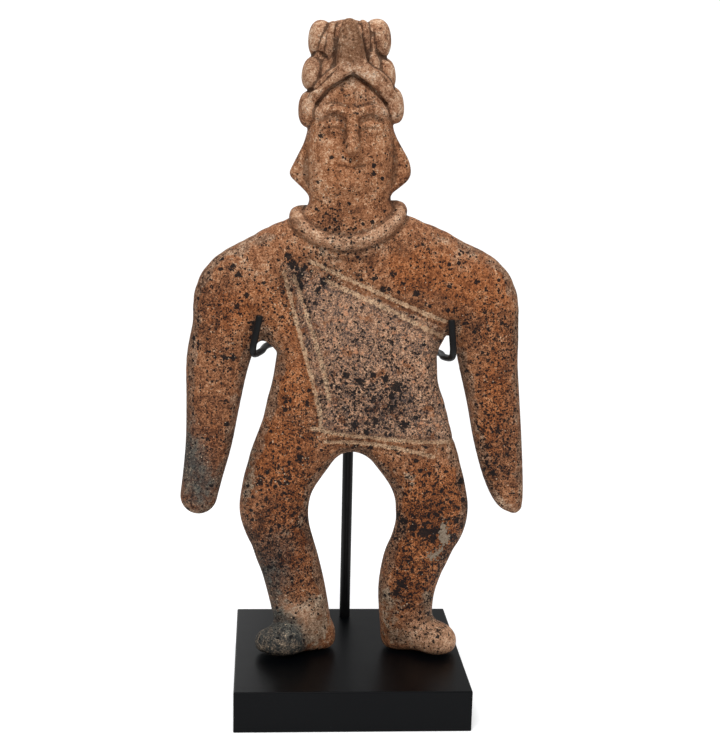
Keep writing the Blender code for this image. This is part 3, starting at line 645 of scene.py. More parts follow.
# Large black blots: x, z and radius.
BLOTS = (
    (-27.4, 176.8, 2.6), (-24.8, 171.6, 2.9), (-29.6, 180.2, 2), (-22.4, 175.4, 1.9),
    (-24.4, 167.6, 2.2), (-14, 169.4, 2.4), (-16.8, 165.6, 1.8), (-11.6, 171.8, 1.5),
    (-50.5, 172, 2), (-53, 175.4, 1.5), (-47, 163, 1.5), (-51, 158, 1.6), (-43.5, 149.5, 2.8),
    (-44.6, 144.6, 2), (-56, 136, 1.6), (-52.6, 135.8, 1.9), (-55.5, 106, 1.5), (-3.6, 128.6, 1.9),
    (2.2, 126.2, 2.5), (8.2, 128.8, 1.8), (13.4, 127, 2.2), (18.8, 124, 2.9), (16.6, 119.6, 2),
    (0.4, 106.6, 2.6), (9.4, 108.4, 2), (22.6, 106.6, 2.4), (27.6, 110.5, 1.7), (5.2, 104, 1.5),
    (-23.4, 91.5, 2.4), (-40.5, 80.5, 1.9), (-37.5, 85, 1.6), (-29, 80, 1.7), (-20.6, 116.4, 2),
    (33, 57.6, 3.8), (27.5, 59, 2.5), (36.8, 54.6, 2.6), (23.4, 61.6, 2.1), (38.4, 58.6, 2.4),
    (46, 54.6, 2.6), (47, 62.6, 2), (18.8, 66.4, 2.4), (20.6, 63.6, 2.2), (23.5, 33.5, 2.8),
    (21, 29, 2.4), (26.5, 45.5, 1.8), (33, 41, 1.5), (26.2, 165, 1.7), (11.5, 166.5, 1.9),
    (15.5, 173, 1.9), (8, 171.5, 1.5), (52.5, 170.4, 1.7), (48, 152, 1.4), (-16.5, 231.5, 1.2),
    (-11.5, 222.5, 1.1), (60.5, 96.5, 1.8), (63, 84, 2), (64.5, 104, 1.9), (50.5, 91.5, 1.6),
    (49, 80, 2.2), (50.2, 71.5, 1.8),
)
# Thin, washed-out, yellowish clay; the two wide spots along the shoulder tops are a painted
# highlight.
TAN = (
    (-3, 232, 18, 18, 0.5), (34, 10, 12, 9, 1), (-3, 252, 14, 6, 0.5), (-22, 150, 9, 18, 0.5),
    (-18, 133, 8, 14, 0.4), (36, 112, 10, 22, 0.5), (-14, 108, 10, 16, 0.4), (-8, 176, 18, 9, 0.7),
    (38, 102, 12, 14, 0.5), (-50, 166, 9, 14, 0.3), (40, 28, 7, 10, 0.9), (20, 30, 6, 10, 0.4),
    (42, 10, 9, 9, 1), (-58, 130, 6, 20, 0.3), (-4, 187, 20, 6, 0.9), (44, 92, 9, 12, 0.4),
    (-44, 66, 8, 12, 0.25), (50, 180, 22, 9, 0.7), (-48, 180, 22, 9, 0.5), (-24, 218, 9, 18, 0.8),
    (36, 8, 10, 8, 0.5), (0, 158, 10, 6, 0.7),
)
# Blackened in the fire.
SMOKE = (
    (-36, 4, 12, 13, 1.8), (-27, 5, 9, 8, 0.8), (-38, 33, 9, 20, 0.45), (-30, 38, 14, 14, 0.3),
    (-68, 76, 12, 22, 0.7), (-24, 55, 20, 12, 0.3), (76, 78, 6, 30, 0.2), (-52, 86, 8, 24, 0.2),
    (-72, 100, 6, 20, 0.4),
)
# Darker and browner.
UMBER = (
    (-30, 84, 26, 20, 0.6), (-33, 52, 20, 22, 0.9), (-26, 36, 20, 14, 0.6),
    (-60, 110, 16, 40, 0.6), (34, 70, 24, 24, 0.35), (30, 38, 20, 22, 0.2), (26, 12, 10, 12, 0.5),
    (58, 140, 16, 24, 0.4), (-24, 165, 12, 16, 0.5), (18, 110, 26, 10, 0.4),
    (-56, 150, 12, 20, 0.5), (-60, 98, 14, 24, 0.5), (-34, 44, 12, 14, 0.5), (25, 24, 8, 9, 0.5),
    (19, 220, 8, 18, 0.6),
)
# The skin has flaked off down to pale clay.
FLAKE = (
    (41.4, 59.8, 2.2, 4.2, 0.6), (42.4, 54.6, 3, 3.6, 0.65), (40.4, 50, 2.2, 3, 0.45),
    (37.2, 46, 3.6, 2.4, 0.7),
)
# Pale buff skin.
PALE = (
    (38, 9, 13, 11, 1.3), (-24, 19, 11, 6, 0.9), (-24, 262, 8, 12, 0.3), (44, 20, 5, 8, 0.6),
)
# Pale grey deposit.
ASH = (
    (35, 24, 3.2, 7, 1), (38.5, 16.5, 4, 5, 0.9), (16.8, 25.5, 3.2, 5.5, 0.8),
    (19, 17, 4.5, 7, 0.8), (24, 7, 7, 5, 1), (24, 27, 6, 8, 0.5), (-26, 17, 10, 7.5, 1.2),
    (-15, 20, 7, 10, 1), (-15, 8, 7, 8, 0.8), (-45, 84, 4, 16, 0.9), (-22, 64, 4, 10, 0.4),
    (25.5, 84, 4, 8, 0.6), (49, 112, 3, 14, 0.5),
)
# The strongest orange.
EMBER = (
    (-22, 140, 10, 26, 0.8), (-24, 122, 9, 8, 0.9), (28, 176, 20, 10, 1), (38, 76, 16, 20, 1),
    (-33, 96, 16, 14, 0.9), (-48, 158, 18, 14, 0.7), (52, 168, 18, 14, 0.8),
    (-60, 112, 8, 34, 0.3), (62, 120, 9, 34, 0.8), (-30, 70, 18, 18, 0.6), (32, 48, 16, 22, 1),
    (30, 22, 10, 16, 0.9), (-22, 44, 10, 18, 0.6), (40, 8, 12, 10, 0.5), (-7, 224, 15, 20, 0.45),
)


# Fine edges that only the skin has: corners in x and z, width and depth.
FINE_LINES = (
    (((-15, 175.2), (-4, 170.0), (10, 163.6), (26, 156.4), (38, 151.0)), 0.6, 0.4),
    (((-11.8, 261), (-11.6, 266), (-11.0, 272), (-9.8, 278.5)), 0.75, 1.3),
    (((3.4, 263), (2.2, 268), (0.8, 273), (-1.0, 278.5)), 0.75, 1.3),
    (((-14.5, 277), (-17.0, 272), (-18.3, 267.5)), 0.7, 0.8),
    (((-22.5, 264), (-18.1, 266), (-13.8, 263.5)), 0.7, 0.9),
    (((-24.3, 250), (-20, 250.6), (-17.8, 251.8), (-10.8, 259)), 0.7, 0.9),
    (((5.1, 274.5), (7, 266.5), (12.3, 264)), 0.7, 1.0),
    (((3.6, 262.4), (12.4, 253.6), (16, 251)), 0.7, 0.8),
)
COLLAR_SWELL = 1.1

# Grooves along the collar: distance out from its middle, width and depth.
COLLAR_EDGES = ((3.8, 0.7, 0.5), (-3.8, 0.9, 0.7))

# The first lines of LINES hold pale deposit; the last one edges the forehead.
SCORED_LINES = 6


def spots(x, z, table):
    """Sum of soft round spots, each its strength times e to minus its distance squared."""
    total = np.zeros_like(x)
    for cx, cz, wide, tall, strength in table:
        total += strength * np.exp(-(((x - cx) / wide) ** 2 + ((z - cz) / tall) ** 2))
    return np.clip(total, 0, 1)


def stray(x, y, z, size, seed):
    """Smooth wandering value about zero: a product of slanted waves as long as size."""
    k = 2 * math.pi / size
    a = np.sin(k * (x + 0.37 * z + 0.21 * y) + seed) * np.cos(k * (0.83 * z - 0.31 * x) + 2 * seed)
    b = np.sin(k * 1.7 * (0.6 * x - 0.9 * z + 0.4 * y) + 3 * seed)
    return 0.6 * a + 0.4 * b


def outward(points, faces):
    """The skin's outward direction at every corner, one long."""
    a = points[faces]
    way = np.cross(a[:, 2] - a[:, 0], a[:, 3] - a[:, 1])
    normal = np.stack([np.bincount(faces.ravel(), np.repeat(way[:, r], 4), len(points))
                       for r in range(3)], 1)
    return normal / np.maximum(np.linalg.norm(normal, axis=1, keepdims=True), 1e-9)


def hollows(points, faces):
    """How far each corner lies below its near and its wider neighbours."""
    edges = edges_of(faces)
    close = neighbour_mean(points, edges)
    smooth = neighbour_mean(neighbour_mean(close, edges), edges)
    return ((smooth + 1.5 * close - 2.5 * points) * outward(points, faces)).sum(1)


def collar_front(shift):
    """The part of the rolled collar that the front shows, in x and z, moved out by shift."""
    ring = np.roll(collar_ring()[:-1], 16, axis=0)
    ring = ring[ring[:, 1] < 1.0][:, [0, 2]]
    along = np.gradient(ring, axis=0)
    along /= np.linalg.norm(along, axis=1, keepdims=True)
    return ring + shift * np.stack([-along[:, 1], along[:, 0]], 1)


def finer_relief(points, faces):
    """Push the skin in and out a little: crisp edges of the collar, the horn and the tufts."""
    x, y, z = points.T
    rise = COLLAR_SWELL * soft(line_distance(x, z, collar_front(0.3)), 2.5)
    edges = tuple((collar_front(shift), width, depth) for shift, width, depth in COLLAR_EDGES)
    for line, width, depth in FINE_LINES + edges:
        rise -= depth * soft(line_distance(x, z, line), width)
    return points + outward(points, faces) * (rise * ease(-y, 0, 4))[:, None]


def clay_zones(points, faces):
    """Masks from 0 to 1 on every corner, by name: what happened to the clay, and painted shade and
    highlight.
    """
    x, y, z = points.T
    sink = hollows(points, faces)
    body = front_views(x, z)[0]
    front = ease(-y, -1, 3)
    wander = stray(x, y, z, 23, 1.3)
    low = ease(z, 16, 24)
    rim = ease(body[0] + 1.6 * wander, -5.6, -3.0) * (1 - ease(z, 186, 194)) * low
    rim = np.maximum(rim, (1 - front) * 0.9)
    scored = np.zeros_like(x)
    seam = np.zeros_like(x)
    for line, _, _ in LINES[:SCORED_LINES]:
        far = line_distance(x, z, line)
        scored = np.maximum(scored, soft(far, 1.05))
        # A dark band just outside each drawn line: painted shadow of the groove's edge.
        seam = np.maximum(seam, soft(far - 1.8, 0.5))
    # Painted highlight along the lit top of the collar roll, partly the roll's own paler tan.
    collar = soft(line_distance(x, z, collar_front(0.6)), 2.6)
    inside = np.clip(0.5 - corners_shape(x, z, PANEL, 2) / 2.2, 0, 1)
    blot = np.zeros_like(x)
    for cx, cz, r in BLOTS:
        blot = np.maximum(blot, np.exp(-((x - cx) ** 2 + (z - cz) ** 2) / (1.1 * r * r)))
    top = ease(z, 236, 244) * ease(np.abs(x + 3.5) - 0.12 * (z - 236), -2, 18)
    dress = np.maximum(ease(z, 246, 258), top)
    cone = ease(-rod_shape(x, y, z, HORN), -1.0, 0.0) * ease(z, 258, 264)
    return {
        "horn": cone, "umber": spots(x, z, UMBER), "rim": rim,
        "scored": scored * front, "cloth": inside * front,
        "speckled": spots(x, z, SPECKLED) * (0.35 + 0.65 * front), "blot": blot * front,
        "tan": spots(x, z, TAN) * front, "smoke": spots(x, z, SMOKE),
        "ember": spots(x, z, EMBER) * front,
        "flake": spots(x, z, FLAKE) * front, "ash": spots(x, z, ASH) * front, "dress": dress,
        # The hollow mask paints shade into hollows and creases; the crest mask paints a highlight
        # onto crests.
        "hollow": np.clip(sink * 5, 0, 1), "crest": np.clip(-sink * 5, 0, 1),
        "seam": seam * (1 - scored) * front, "pale": np.maximum(collar, spots(x, z, PALE)) * front,
    }


def linear(*rgb):
    """A colour given as 0 to 255 screen values, as the linear values that shaders use."""
    return tuple(((v / 255 + 0.055) / 1.055) ** 2.4 if v > 10 else v / 255 / 12.92 for v in rgb)


class Value:
    """A socket of a node tree with arithmetic: numbers make Math nodes, colours Mix nodes."""

    def __init__(self, tree, socket):
        self.tree, self.socket = tree, socket

    def math(self, operation, *others):
        return self.tree.add("ShaderNodeMath", {"operation": operation}, *others)

    def __add__(self, other):
        return self.math("ADD", self, other)

    __radd__ = __add__

    def __sub__(self, other):
        return self.math("SUBTRACT", self, other)

    def __rsub__(self, other):
        return self.math("SUBTRACT", other, self)

    def __mul__(self, other):
        return self.math("MULTIPLY", self, other)

    __rmul__ = __mul__

    def most(self, other):
        return self.math("MAXIMUM", self, other)

    def clear(self, low, high):
        """0 below low, 1 above high, smooth between; low may be the greater."""
        return self.tree.add("ShaderNodeMapRange", {"interpolation_type": "SMOOTHSTEP"},
                             self, low, high, 0.0, 1.0)


class Tree:
    """The node tree of one material, with a method that adds any node."""

    def __init__(self, name):
        self.material = bpy.data.materials.new(name)
        self.material.use_nodes = True
        self.nodes = self.material.node_tree.nodes
        self.links = self.material.node_tree.links
        self.shader = self.nodes["Principled BSDF"]

    def plug(self, socket, value):
        if isinstance(value, Value):
            self.links.new(value.socket, socket)
        elif isinstance(value, tuple) and len(value) == 3 and socket.type == "RGBA":
            socket.default_value = (*value, 1.0)
        else:
            socket.default_value = value

    def add(self, kind, settings, *values, out=0, **named):
        """Add a node: its settings first, then its sockets in order or by name."""
        node = self.nodes.new(kind)
        for name, value in settings.items():
            if name == "stops":
                ramp = node.color_ramp
                while len(ramp.elements) < len(value):
                    ramp.elements.new(0.5)
                for element, (place, colour) in zip(ramp.elements, value):
                    element.position = place
                    element.color = (*colour, 1.0)
            else:
                setattr(node, name, value)
        for socket, value in zip([s for s in node.inputs if s.enabled], values):
            if value is not None:
                self.plug(socket, value)
        for name, value in named.items():
            wanted = name.replace("_", " ")
            self.plug(next(s for s in node.inputs if s.name == wanted and s.enabled), value)
        if isinstance(out, str):
            return Value(self, next(s for s in node.outputs if s.name == out and s.enabled))
        return Value(self, [s for s in node.outputs if s.enabled][out])

    def place(self):
        """Object coordinates in millimetres."""
        where = self.add("ShaderNodeTexCoord", {}, out="Object")
        return self.add("ShaderNodeVectorMath", {"operation": "SCALE"}, where, Scale=1000.0)

    def mask(self, name):
        return self.add("ShaderNodeAttribute", {"attribute_name": name}, out="Fac")

    def noise(self, place, size, detail=3.0, rough=0.5, bend=0.0):
        """Cloudy value between 0 and 1 with lumps about size millimetres across."""
        return self.add("ShaderNodeTexNoise", {}, Vector=place, Scale=1.0 / size, Detail=detail,
                        Roughness=rough, Distortion=bend)

    def shifted(self, place, size, reach):
        """The place moved about by up to reach, in swirls of the given size."""
        swirl = self.add("ShaderNodeTexNoise", {}, Vector=place, Scale=1.0 / size, out="Color")
        middle = self.add("ShaderNodeVectorMath", {"operation": "SUBTRACT"}, swirl,
                          (0.5, 0.5, 0.5))
        way = self.add("ShaderNodeVectorMath", {"operation": "SCALE"}, middle, Scale=2 * reach)
        return self.add("ShaderNodeVectorMath", {"operation": "ADD"}, place, way)

    def mix(self, factor, low, high):
        """The colour low turned into high by the factor."""
        return self.add("ShaderNodeMix", {"data_type": "RGBA"}, factor, low, high, out="Result")

    def grade(self, value, stops):
        """Colours by value: each stop is a place and a 0 to 255 colour."""
        return self.add("ShaderNodeValToRGB", {"stops": [(s[0], linear(*s[1:])) for s in stops]},
                        value, out="Color")

    def specks(self, place, size, share, radius, soft=0.1):
        """Grains, one in each cell of size, kept where a random value is under share."""
        cell = self.add("ShaderNodeTexVoronoi", {}, Vector=place, Scale=1.0 / size, Randomness=1.0,
                        out="Distance")
        tint = cell.socket.node.outputs["Color"]
        parts = self.nodes.new("ShaderNodeSeparateColor")
        self.links.new(tint, parts.inputs[0])
        pick, grow = Value(self, parts.outputs[0]), Value(self, parts.outputs[1])
        reach = (grow * 0.8 + 0.4) * radius
        return (reach - cell).clear(0.0, soft) * (share - pick).clear(0.0, 0.04)

    def finish(self, colour, rough, bump=None, strength=0.3, depth=0.0005):
        self.plug(self.shader.inputs["Base Color"], colour)
        self.plug(self.shader.inputs["Roughness"], rough)
        if bump is not None:
            raised = self.add("ShaderNodeBump", {}, Strength=strength, Distance=depth, Height=bump)
            self.plug(self.shader.inputs["Normal"], raised)
        return self.material

    def fade(self, factor):
        """Let the surface turn see-through by the factor."""
        clear = self.nodes.new("ShaderNodeBsdfTransparent")
        both = self.nodes.new("ShaderNodeMixShader")
        self.plug(both.inputs[0], factor)
        self.links.new(self.shader.outputs[0], both.inputs[1])
        self.links.new(clear.outputs[0], both.inputs[2])
        self.links.new(both.outputs[0], self.nodes["Material Output"].inputs["Surface"])


def fired_clay(look):
    """Burnished orange-brown clay with black specks, smoke, deposits in the drawn lines."""
    t = Tree("burnished_clay")
    at = t.place()
    ragged = t.shifted(at, 0.7, 0.35)
    bent = t.shifted(at, 1.8, 0.8)
    cloud = t.noise(at, 15.0, 4.0, 0.55, 0.4) - 0.5
    patch = t.noise(at, 7.5, 4.0, 0.6, 0.6) - 0.5
    mottle = t.noise(at, 3.0, 5.0, 0.62, 0.3) - 0.5
    grain = t.noise(at, 0.85, 3.0, 0.6) - 0.5
    fine = t.noise(at, 0.4, 2.0, 0.6) - 0.5
    rim, cloth, scored = t.mask("rim"), t.mask("cloth"), t.mask("scored")
    hollow, dress, horn = t.mask("hollow"), t.mask("dress"), t.mask("horn")
    tan, umber, thick = t.mask("tan"), t.mask("umber"), t.mask("speckled")
    grit = grain * 1.2 + fine * 1.0
    rubbed = t.add("ShaderNodeVectorMath", {"operation": "MULTIPLY"}, at, (1.0, 1.0, 0.1))
    streak = t.noise(rubbed, 1.6, 2.0, 0.5) - 0.5

    # The ground: brown, strong orange, bare, washed-out and ashen clay.
    tone = grit + mottle * 1.2 + cloud * 0.8 + streak * 0.25 + 0.46 - umber * 0.15

    def over(factor, colour, stops, by=tone):
        """The colour turned by the factor into one graded by tone."""
        return t.mix(factor, colour, t.grade(by, stops))

    colour = t.grade(tone + tan * 0.16, (
        (0.0, 42, 26, 19), (0.22, 92, 57, 38), (0.42, 132, 85, 56), (0.6, 160, 109, 75),
        (0.8, 188, 142, 108), (1.0, 214, 182, 152)))
    warm = (t.mask("ember") * 0.9 + patch * 1.4 - 0.2).clear(0.0, 0.5)
    colour = over(warm * 0.7, colour, (
        (0.05, 78, 39, 20), (0.35, 132, 74, 38), (0.6, 170, 102, 57), (0.95, 210, 150, 102)))
    bared = (rim * 0.9 + patch * 2.4 + mottle * 1.0 - 0.45).clear(0.0, 0.5)
    colour = over(bared * 0.65, colour, (
        (0.1, 62, 50, 42), (0.5, 122, 98, 80), (0.9, 184, 160, 138)))
    # Washed-out clay, and a painted highlight where the spots lie along the shoulder tops.
    washed_and_shoulder_highlight = (tan * 1.0 + patch * 2.6 + mottle - 0.3).clear(0.0, 0.8)
    colour = over(washed_and_shoulder_highlight * 0.4, colour, (
        (0.1, 100, 74, 56), (0.5, 154, 120, 95), (0.9, 206, 176, 148)))
    ashen = (t.mask("ash") * 1.1 + mottle * 3.0 + patch + grit * 0.3 - 0.45).clear(0.0, 0.6)
    colour = over(ashen * 0.75, colour, (
        (0.1, 70, 61, 51), (0.5, 130, 113, 95), (0.9, 190, 175, 152)))

    # The panel of cloth, and pale clay with a painted highlight along the top of the rolled
    # collar.
    woven = (cloth * 1.1 + patch * 2.7 + mottle * 2.0 - 0.4).clear(0.0, 0.6)
    colour = over(woven * 0.85, colour, (
        (0.05, 45, 43, 45), (0.28, 92, 80, 74), (0.46, 136, 110, 92), (0.64, 176, 130, 98),
        (0.9, 210, 176, 148)), grit * 1.6 + mottle * 1.3 + 0.48 - umber * 0.2)
    colour = over(t.mask("pale") * 0.8, colour, (
        (0.1, 122, 89, 66), (0.5, 184, 142, 112), (0.9, 224, 196, 168)))

    # The headdress and its horn.
    colour = over(dress * (mottle * 2.0 + 0.75).clear(0.0, 1.0), colour, (
        (0.1, 94, 63, 48), (0.4, 150, 110, 84), (0.65, 186, 146, 116), (0.95, 220, 196, 172)),
        tone + patch * 0.8 + 0.04)
    colour = over(horn * 0.8, colour, (
        (0.1, 68, 44, 31), (0.5, 116, 80, 56), (0.9, 154, 114, 86)))

    # Smoke.
    smoke = (t.mask("smoke") * 1.3 + cloud + mottle * 1.2 - 0.3).clear(0.0, 0.8)
    colour = over(smoke * 0.95, colour, (
        (0.1, 26, 30, 31), (0.5, 58, 62, 61), (0.9, 118, 114, 102)), grit + mottle + 0.5)

    # Painted highlight on crests, painted shade in hollows, painted shadow beside the drawn lines,
    # and pale deposit in the drawn lines.
    # Painted highlight: convex crests lightened towards pale tan.
    painted_highlight = (t.mask("crest") * 0.8 + grit * 0.9 + mottle * 1.6 - 0.6).clear(0.0, 0.8)
    colour = over(painted_highlight * 0.4, colour, (
        (0.1, 130, 98, 72), (0.5, 186, 150, 118), (0.9, 222, 192, 162)))
    # Painted shade: hollows and creases darkened towards deep brown.
    painted_shade = (hollow * 1.2 + grit * 0.4 + mottle * 1.0 - 0.45).clear(0.0, 0.6)
    colour = t.mix(painted_shade * (1.0 - scored) * (dress * 0.25 + 0.5), colour, linear(52, 34, 25))
    # Painted shadow beside the drawn lines.
    seam = t.mask("seam") * (grit + mottle * 3.0 + 0.7).clear(0.0, 0.8)
    colour = t.mix(seam * 0.6, colour, linear(64, 36, 22))
    chalk = (scored * 1.15 + grit * 0.7 + mottle * 1.2 - 0.4).clear(0.0, 0.4)
    colour = over(chalk * 0.85, colour, ((0.2, 150, 116, 88), (0.8, 212, 180, 146)))
    jag = t.noise(at, 1.3, 3.0, 0.7) - 0.5
    flaked = (t.mask("flake") + mottle * 1.0 + jag * 1.8 - 0.42).clear(0.0, 0.08)

    # Black specks, blots and stains, pink chips and pale grains.
    few = (thick + patch * 1.4 + mottle * 1.0).clear(-0.15, 1.0)
    dust = t.specks(ragged, 0.65, few * 0.9 + 0.06, 0.6, 0.12)
    grains = t.specks(ragged, 1.0, few * 0.5 + 0.03, 0.56, 0.06)
    crumbs = t.specks(bent, 2.0, few * 0.2 + 0.05, 0.5, 0.06)
    clots = (t.noise(bent, 1.7, 4.0, 0.65) + thick * 0.10 + patch * 0.12 - 0.655).clear(0.0, 0.02)
    blot = (t.mask("blot") * 1.1 + jag * 2.2 + mottle * 0.8 - 0.62).clear(0.0, 0.05)
    stain = (thick * 0.4 + patch * 2.2 + mottle * 1.6 - 0.65).clear(0.0, 0.5)
    dark = grains.most(crumbs).most(clots).most(blot) * (1.0 - chalk * 0.5)
    chips = t.specks(bent, 2.3, cloth * 0.5 * woven, 0.42) * cloth
    colour = t.mix(chips * 0.6, colour, linear(196, 138, 102))
    keep = 1.0 - dress * 0.55
    colour = t.mix(stain * 0.2 * keep, colour, linear(64, 42, 32))
    colour = t.mix(dust * keep * 0.75, colour, linear(28, 20, 17))
    colour = t.mix(dark * keep * 0.95, colour, linear(17, 16, 18))
    pale = t.specks(ragged, 1.3, 0.16 + patch * 0.5, 0.26)
    colour = t.mix(pale * 0.6, colour, linear(216, 190, 160))
    colour = t.mix(flaked, colour, t.mix((grit * 0.7 + 0.4).clear(0.0, 1.0),
                                         linear(104, 90, 76), linear(168, 152, 132)))

    rough = 0.58 + 0.25 * bared.most(dress).most(smoke) + grain * 0.4 - dark * 0.06
    height = grain * 0.8 + fine * 0.4 + mottle * 0.6 - dark * 0.2 - chalk * 0.1 + flaked * 0.4
    t.shader.inputs["Specular IOR Level"].default_value = look.gloss
    return t.finish(colour, rough, height, 0.8, 0.0007)


def black_lacquer():
    """Satin black lacquer with faint dust."""
    t = Tree("satin_black_lacquer")
    at = t.place()
    dust = t.specks(at, 3.2, 0.10, 0.07)
    smear = t.noise(at, 22.0, 4.0, 0.6, 0.5)
    grit = t.noise(at, 0.25, 2.0, 0.6)
    colour = t.mix(dust * 0.5, linear(2, 3, 5), linear(86, 88, 92))
    rough = 0.30 + smear * 0.08 + dust * 0.3
    t.shader.inputs["Specular IOR Level"].default_value = 0.1
    return t.finish(colour, rough, grit, 0.12, 0.00006)


def black_steel():
    """Thin satin black paint over steel."""
    t = Tree("satin_black_paint")
    at = t.place()
    grit = t.noise(at, 0.3, 3.0, 0.6)
    run = t.noise(at, 6.0, 3.0, 0.5)
    colour = t.mix(run, linear(8, 8, 9), linear(16, 16, 17))
    t.shader.inputs["Specular IOR Level"].default_value = 0.2
    return t.finish(colour, 0.36 + run * 0.16, grit, 0.2, 0.00006)


def put(name, data, columns=None):
    """A new object in the scene; the columns are its three directions and its place."""
    made = bpy.data.objects.new(name, data)
    if columns is not None:
        made.matrix_world = Matrix([*np.stack(columns, 1).tolist(), (0, 0, 0, 1)])
    bpy.context.scene.collection.objects.link(made)
    return made


def add_piece(name, points, faces, surface, node, masks=None, smooth=True):
    """A finished piece at the origin, riding on the model's one body in place of its node."""
    mesh = bpy.data.meshes.new(name)
    mesh.from_pydata(points.tolist(), [], [list(q) for q in faces])
    mesh.materials.append(surface)
    mesh.polygons.foreach_set("use_smooth", [smooth] * len(mesh.polygons))
    for mask, values in (masks or {}).items():
        layer = mesh.attributes.new(mask, "FLOAT", "POINT")
        layer.data.foreach_set("value", values.astype(np.float32))
    mesh.update()
    made = put(name, mesh)
    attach(made, "root")
    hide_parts(node)
    return made


def ring_faces(rows, around):
    """Four-sided faces between closed rows of corners, with a fan's polygon on each end."""
    i, j = np.meshgrid(np.arange(rows - 1), np.arange(around), indexing="ij")
    a, b = i * around + j, i * around + (j + 1) % around
    side = np.stack([a, b, b + around, a + around], -1).reshape(-1, 4)
    last = (rows - 1) * around
    ends = [tuple(range(around))[::-1], tuple(range(last, last + around))]
    return [tuple(q) for q in side.tolist()] + ends


def carried(path, radius, around):
    """A round section carried along a path.

    Each row is the path's point plus radius times cosine and sine of the turn along two
    directions square to the path, handed on from row to row so that the skin does not twist.
    """
    along = np.gradient(path, axis=0)
    along /= np.linalg.norm(along, axis=1, keepdims=True)
    side = np.array((1.0, 0.0, 0.0))
    sides = []
    for way in along:
        side = side - way * (side @ way)
        side = side / np.linalg.norm(side)
        sides.append(side)
    sides = np.array(sides)
    other = np.cross(along, sides)
    turn = np.arange(around) * 2 * math.pi / around
    radius = np.broadcast_to(radius, (len(path),))[:, None, None]
    rows = path[:, None, :] + radius * (np.cos(turn)[:, None] * sides[:, None, :]
                                        + np.sin(turn)[:, None] * other[:, None, :])
    return rows.reshape(-1, 3), ring_faces(len(path), around)


def eased_ends(path, radius, edge):
    """The path with rows added at both ends, and radii that give each end a small round edge.

    Along a quarter circle the row moves in by edge less edge times the cosine of the turn,
    while its radius grows by edge times the sine.
    """
    turn = np.linspace(0, math.pi / 2, 4)
    inward = (edge * (1 - np.cos(turn)))[:, None]
    grown = radius - edge * (1 - np.sin(turn))
    first = (path[1] - path[0]) / np.linalg.norm(path[1] - path[0])
    last = (path[-2] - path[-1]) / np.linalg.norm(path[-2] - path[-1])
    head, tail = path[0] + first * inward, path[-1] + last * inward
    points = np.vstack([head, path[1:-1], tail[::-1]])
    return points, np.concatenate([grown, np.full(len(path) - 2, radius), grown[::-1]])


def hook_path(side, tip, bend, turn, gap, rear):
    """Points of a hook in metres: prong tip, bend, turn under the arm, and the run to the rod."""
    floor = BASE_HEIGHT + TOUCH_GAP
    front = -(BODY_HALF_DEPTH * MM + PRONG_CLEARANCE + WIRE_DIAMETER / 2)
    back = BODY_HALF_DEPTH * MM + 2 * PRONG_CLEARANCE + WIRE_DIAMETER / 2

    def at(place, y):
        return side * place[0] * MM, y, place[1] * MM + floor

    last = at(rear, back)
    away = np.array((last[0] - ROD_PLACE[0], back - ROD_PLACE[1]))
    away *= (ROD_DIAMETER / 2 + TOUCH_GAP) / math.hypot(*away)
    end = (ROD_PLACE[0] + away[0], ROD_PLACE[1] + away[1], last[2])
    half = tuple(0.5 * (a + b) for a, b in zip(end, last))
    above = tuple(0.5 * (a + b) for a, b in zip(tip, bend))
    return (at(tip, front), at(above, front), at(bend, front), at(turn, front + PRONG_TURN),
            at(gap, 0.0), last, half, end)


HOOKS = {
    "hook_left": (-1, (41.4, 155.0), (44.2, 141.0), (43.6, 137.7), (40.6, 137.2), (36.2, 137.8)),
    "hook_right": (1, (41.3, 154.2), (42.5, 140.6), (42.2, 137.0), (40.2, 135.5), (38.6, 135.0)),
}


def block_skin(width, depth, height, edge, steps=4):
    """A block with rounded arrises: corners of a box pulled in by edge, then pushed out again.

    Every row round the block is a rectangle with quarter-circle corners; the rows climb a
    quarter circle at the foot, the side, and a quarter circle at the top.
    """
    turn = np.linspace(0, math.pi / 2, steps + 1)
    corner = np.concatenate([turn + q * math.pi / 2 for q in range(4)])
    cx = np.repeat([1, -1, -1, 1], steps + 1) * (width / 2 - edge)
    cy = np.repeat([1, 1, -1, -1], steps + 1) * (depth / 2 - edge)
    climb = np.concatenate([turn - math.pi / 2, turn])
    level = np.where(climb < 0, edge, height - edge) + edge * np.sin(climb)
    out = edge * np.cos(climb)
    x = cx + out[:, None] * np.cos(corner)
    y = cy + out[:, None] * np.sin(corner)
    z = np.broadcast_to(level[:, None], x.shape)
    return np.stack([x, y, z], -1).reshape(-1, 3), ring_faces(len(climb), len(corner))


class PotteryClayLook(bpy.types.PropertyGroup):
    gloss: FloatProperty(name="Gloss", description="Strength of the clay's reflections",
                         default=0.1, min=0.0, max=1.0, subtype="FACTOR")


class PotteryStandSizes(bpy.types.PropertyGroup):
    arris: FloatProperty(name="Arris", description="Radius of the base's edges",
                         default=0.0006, min=0.0001, max=0.003, unit="LENGTH")
    wire: FloatProperty(name="Wire", description="Diameter of the hook wire",
                        default=WIRE_DIAMETER, min=0.001, max=0.005, unit="LENGTH")


class PotteryStageLook(bpy.types.PropertyGroup):
    paper: FloatVectorProperty(name="Paper", description="Colour of the floor and backdrop",
                               default=(0.92, 0.925, 0.93), min=0.0, max=1.0, subtype="COLOR")
    room: FloatProperty(name="Room light", description="Strength of the light from all round",
                        default=0.42, min=0.0, max=2.0)
    glow: FloatProperty(name="Floor glow", description="Light that the floor gives by itself",
                        default=0.35, min=0.0, max=2.0)
    key: FloatProperty(name="Key light", description="Power of the main soft light",
                       default=5.6, min=0.0, unit="POWER")


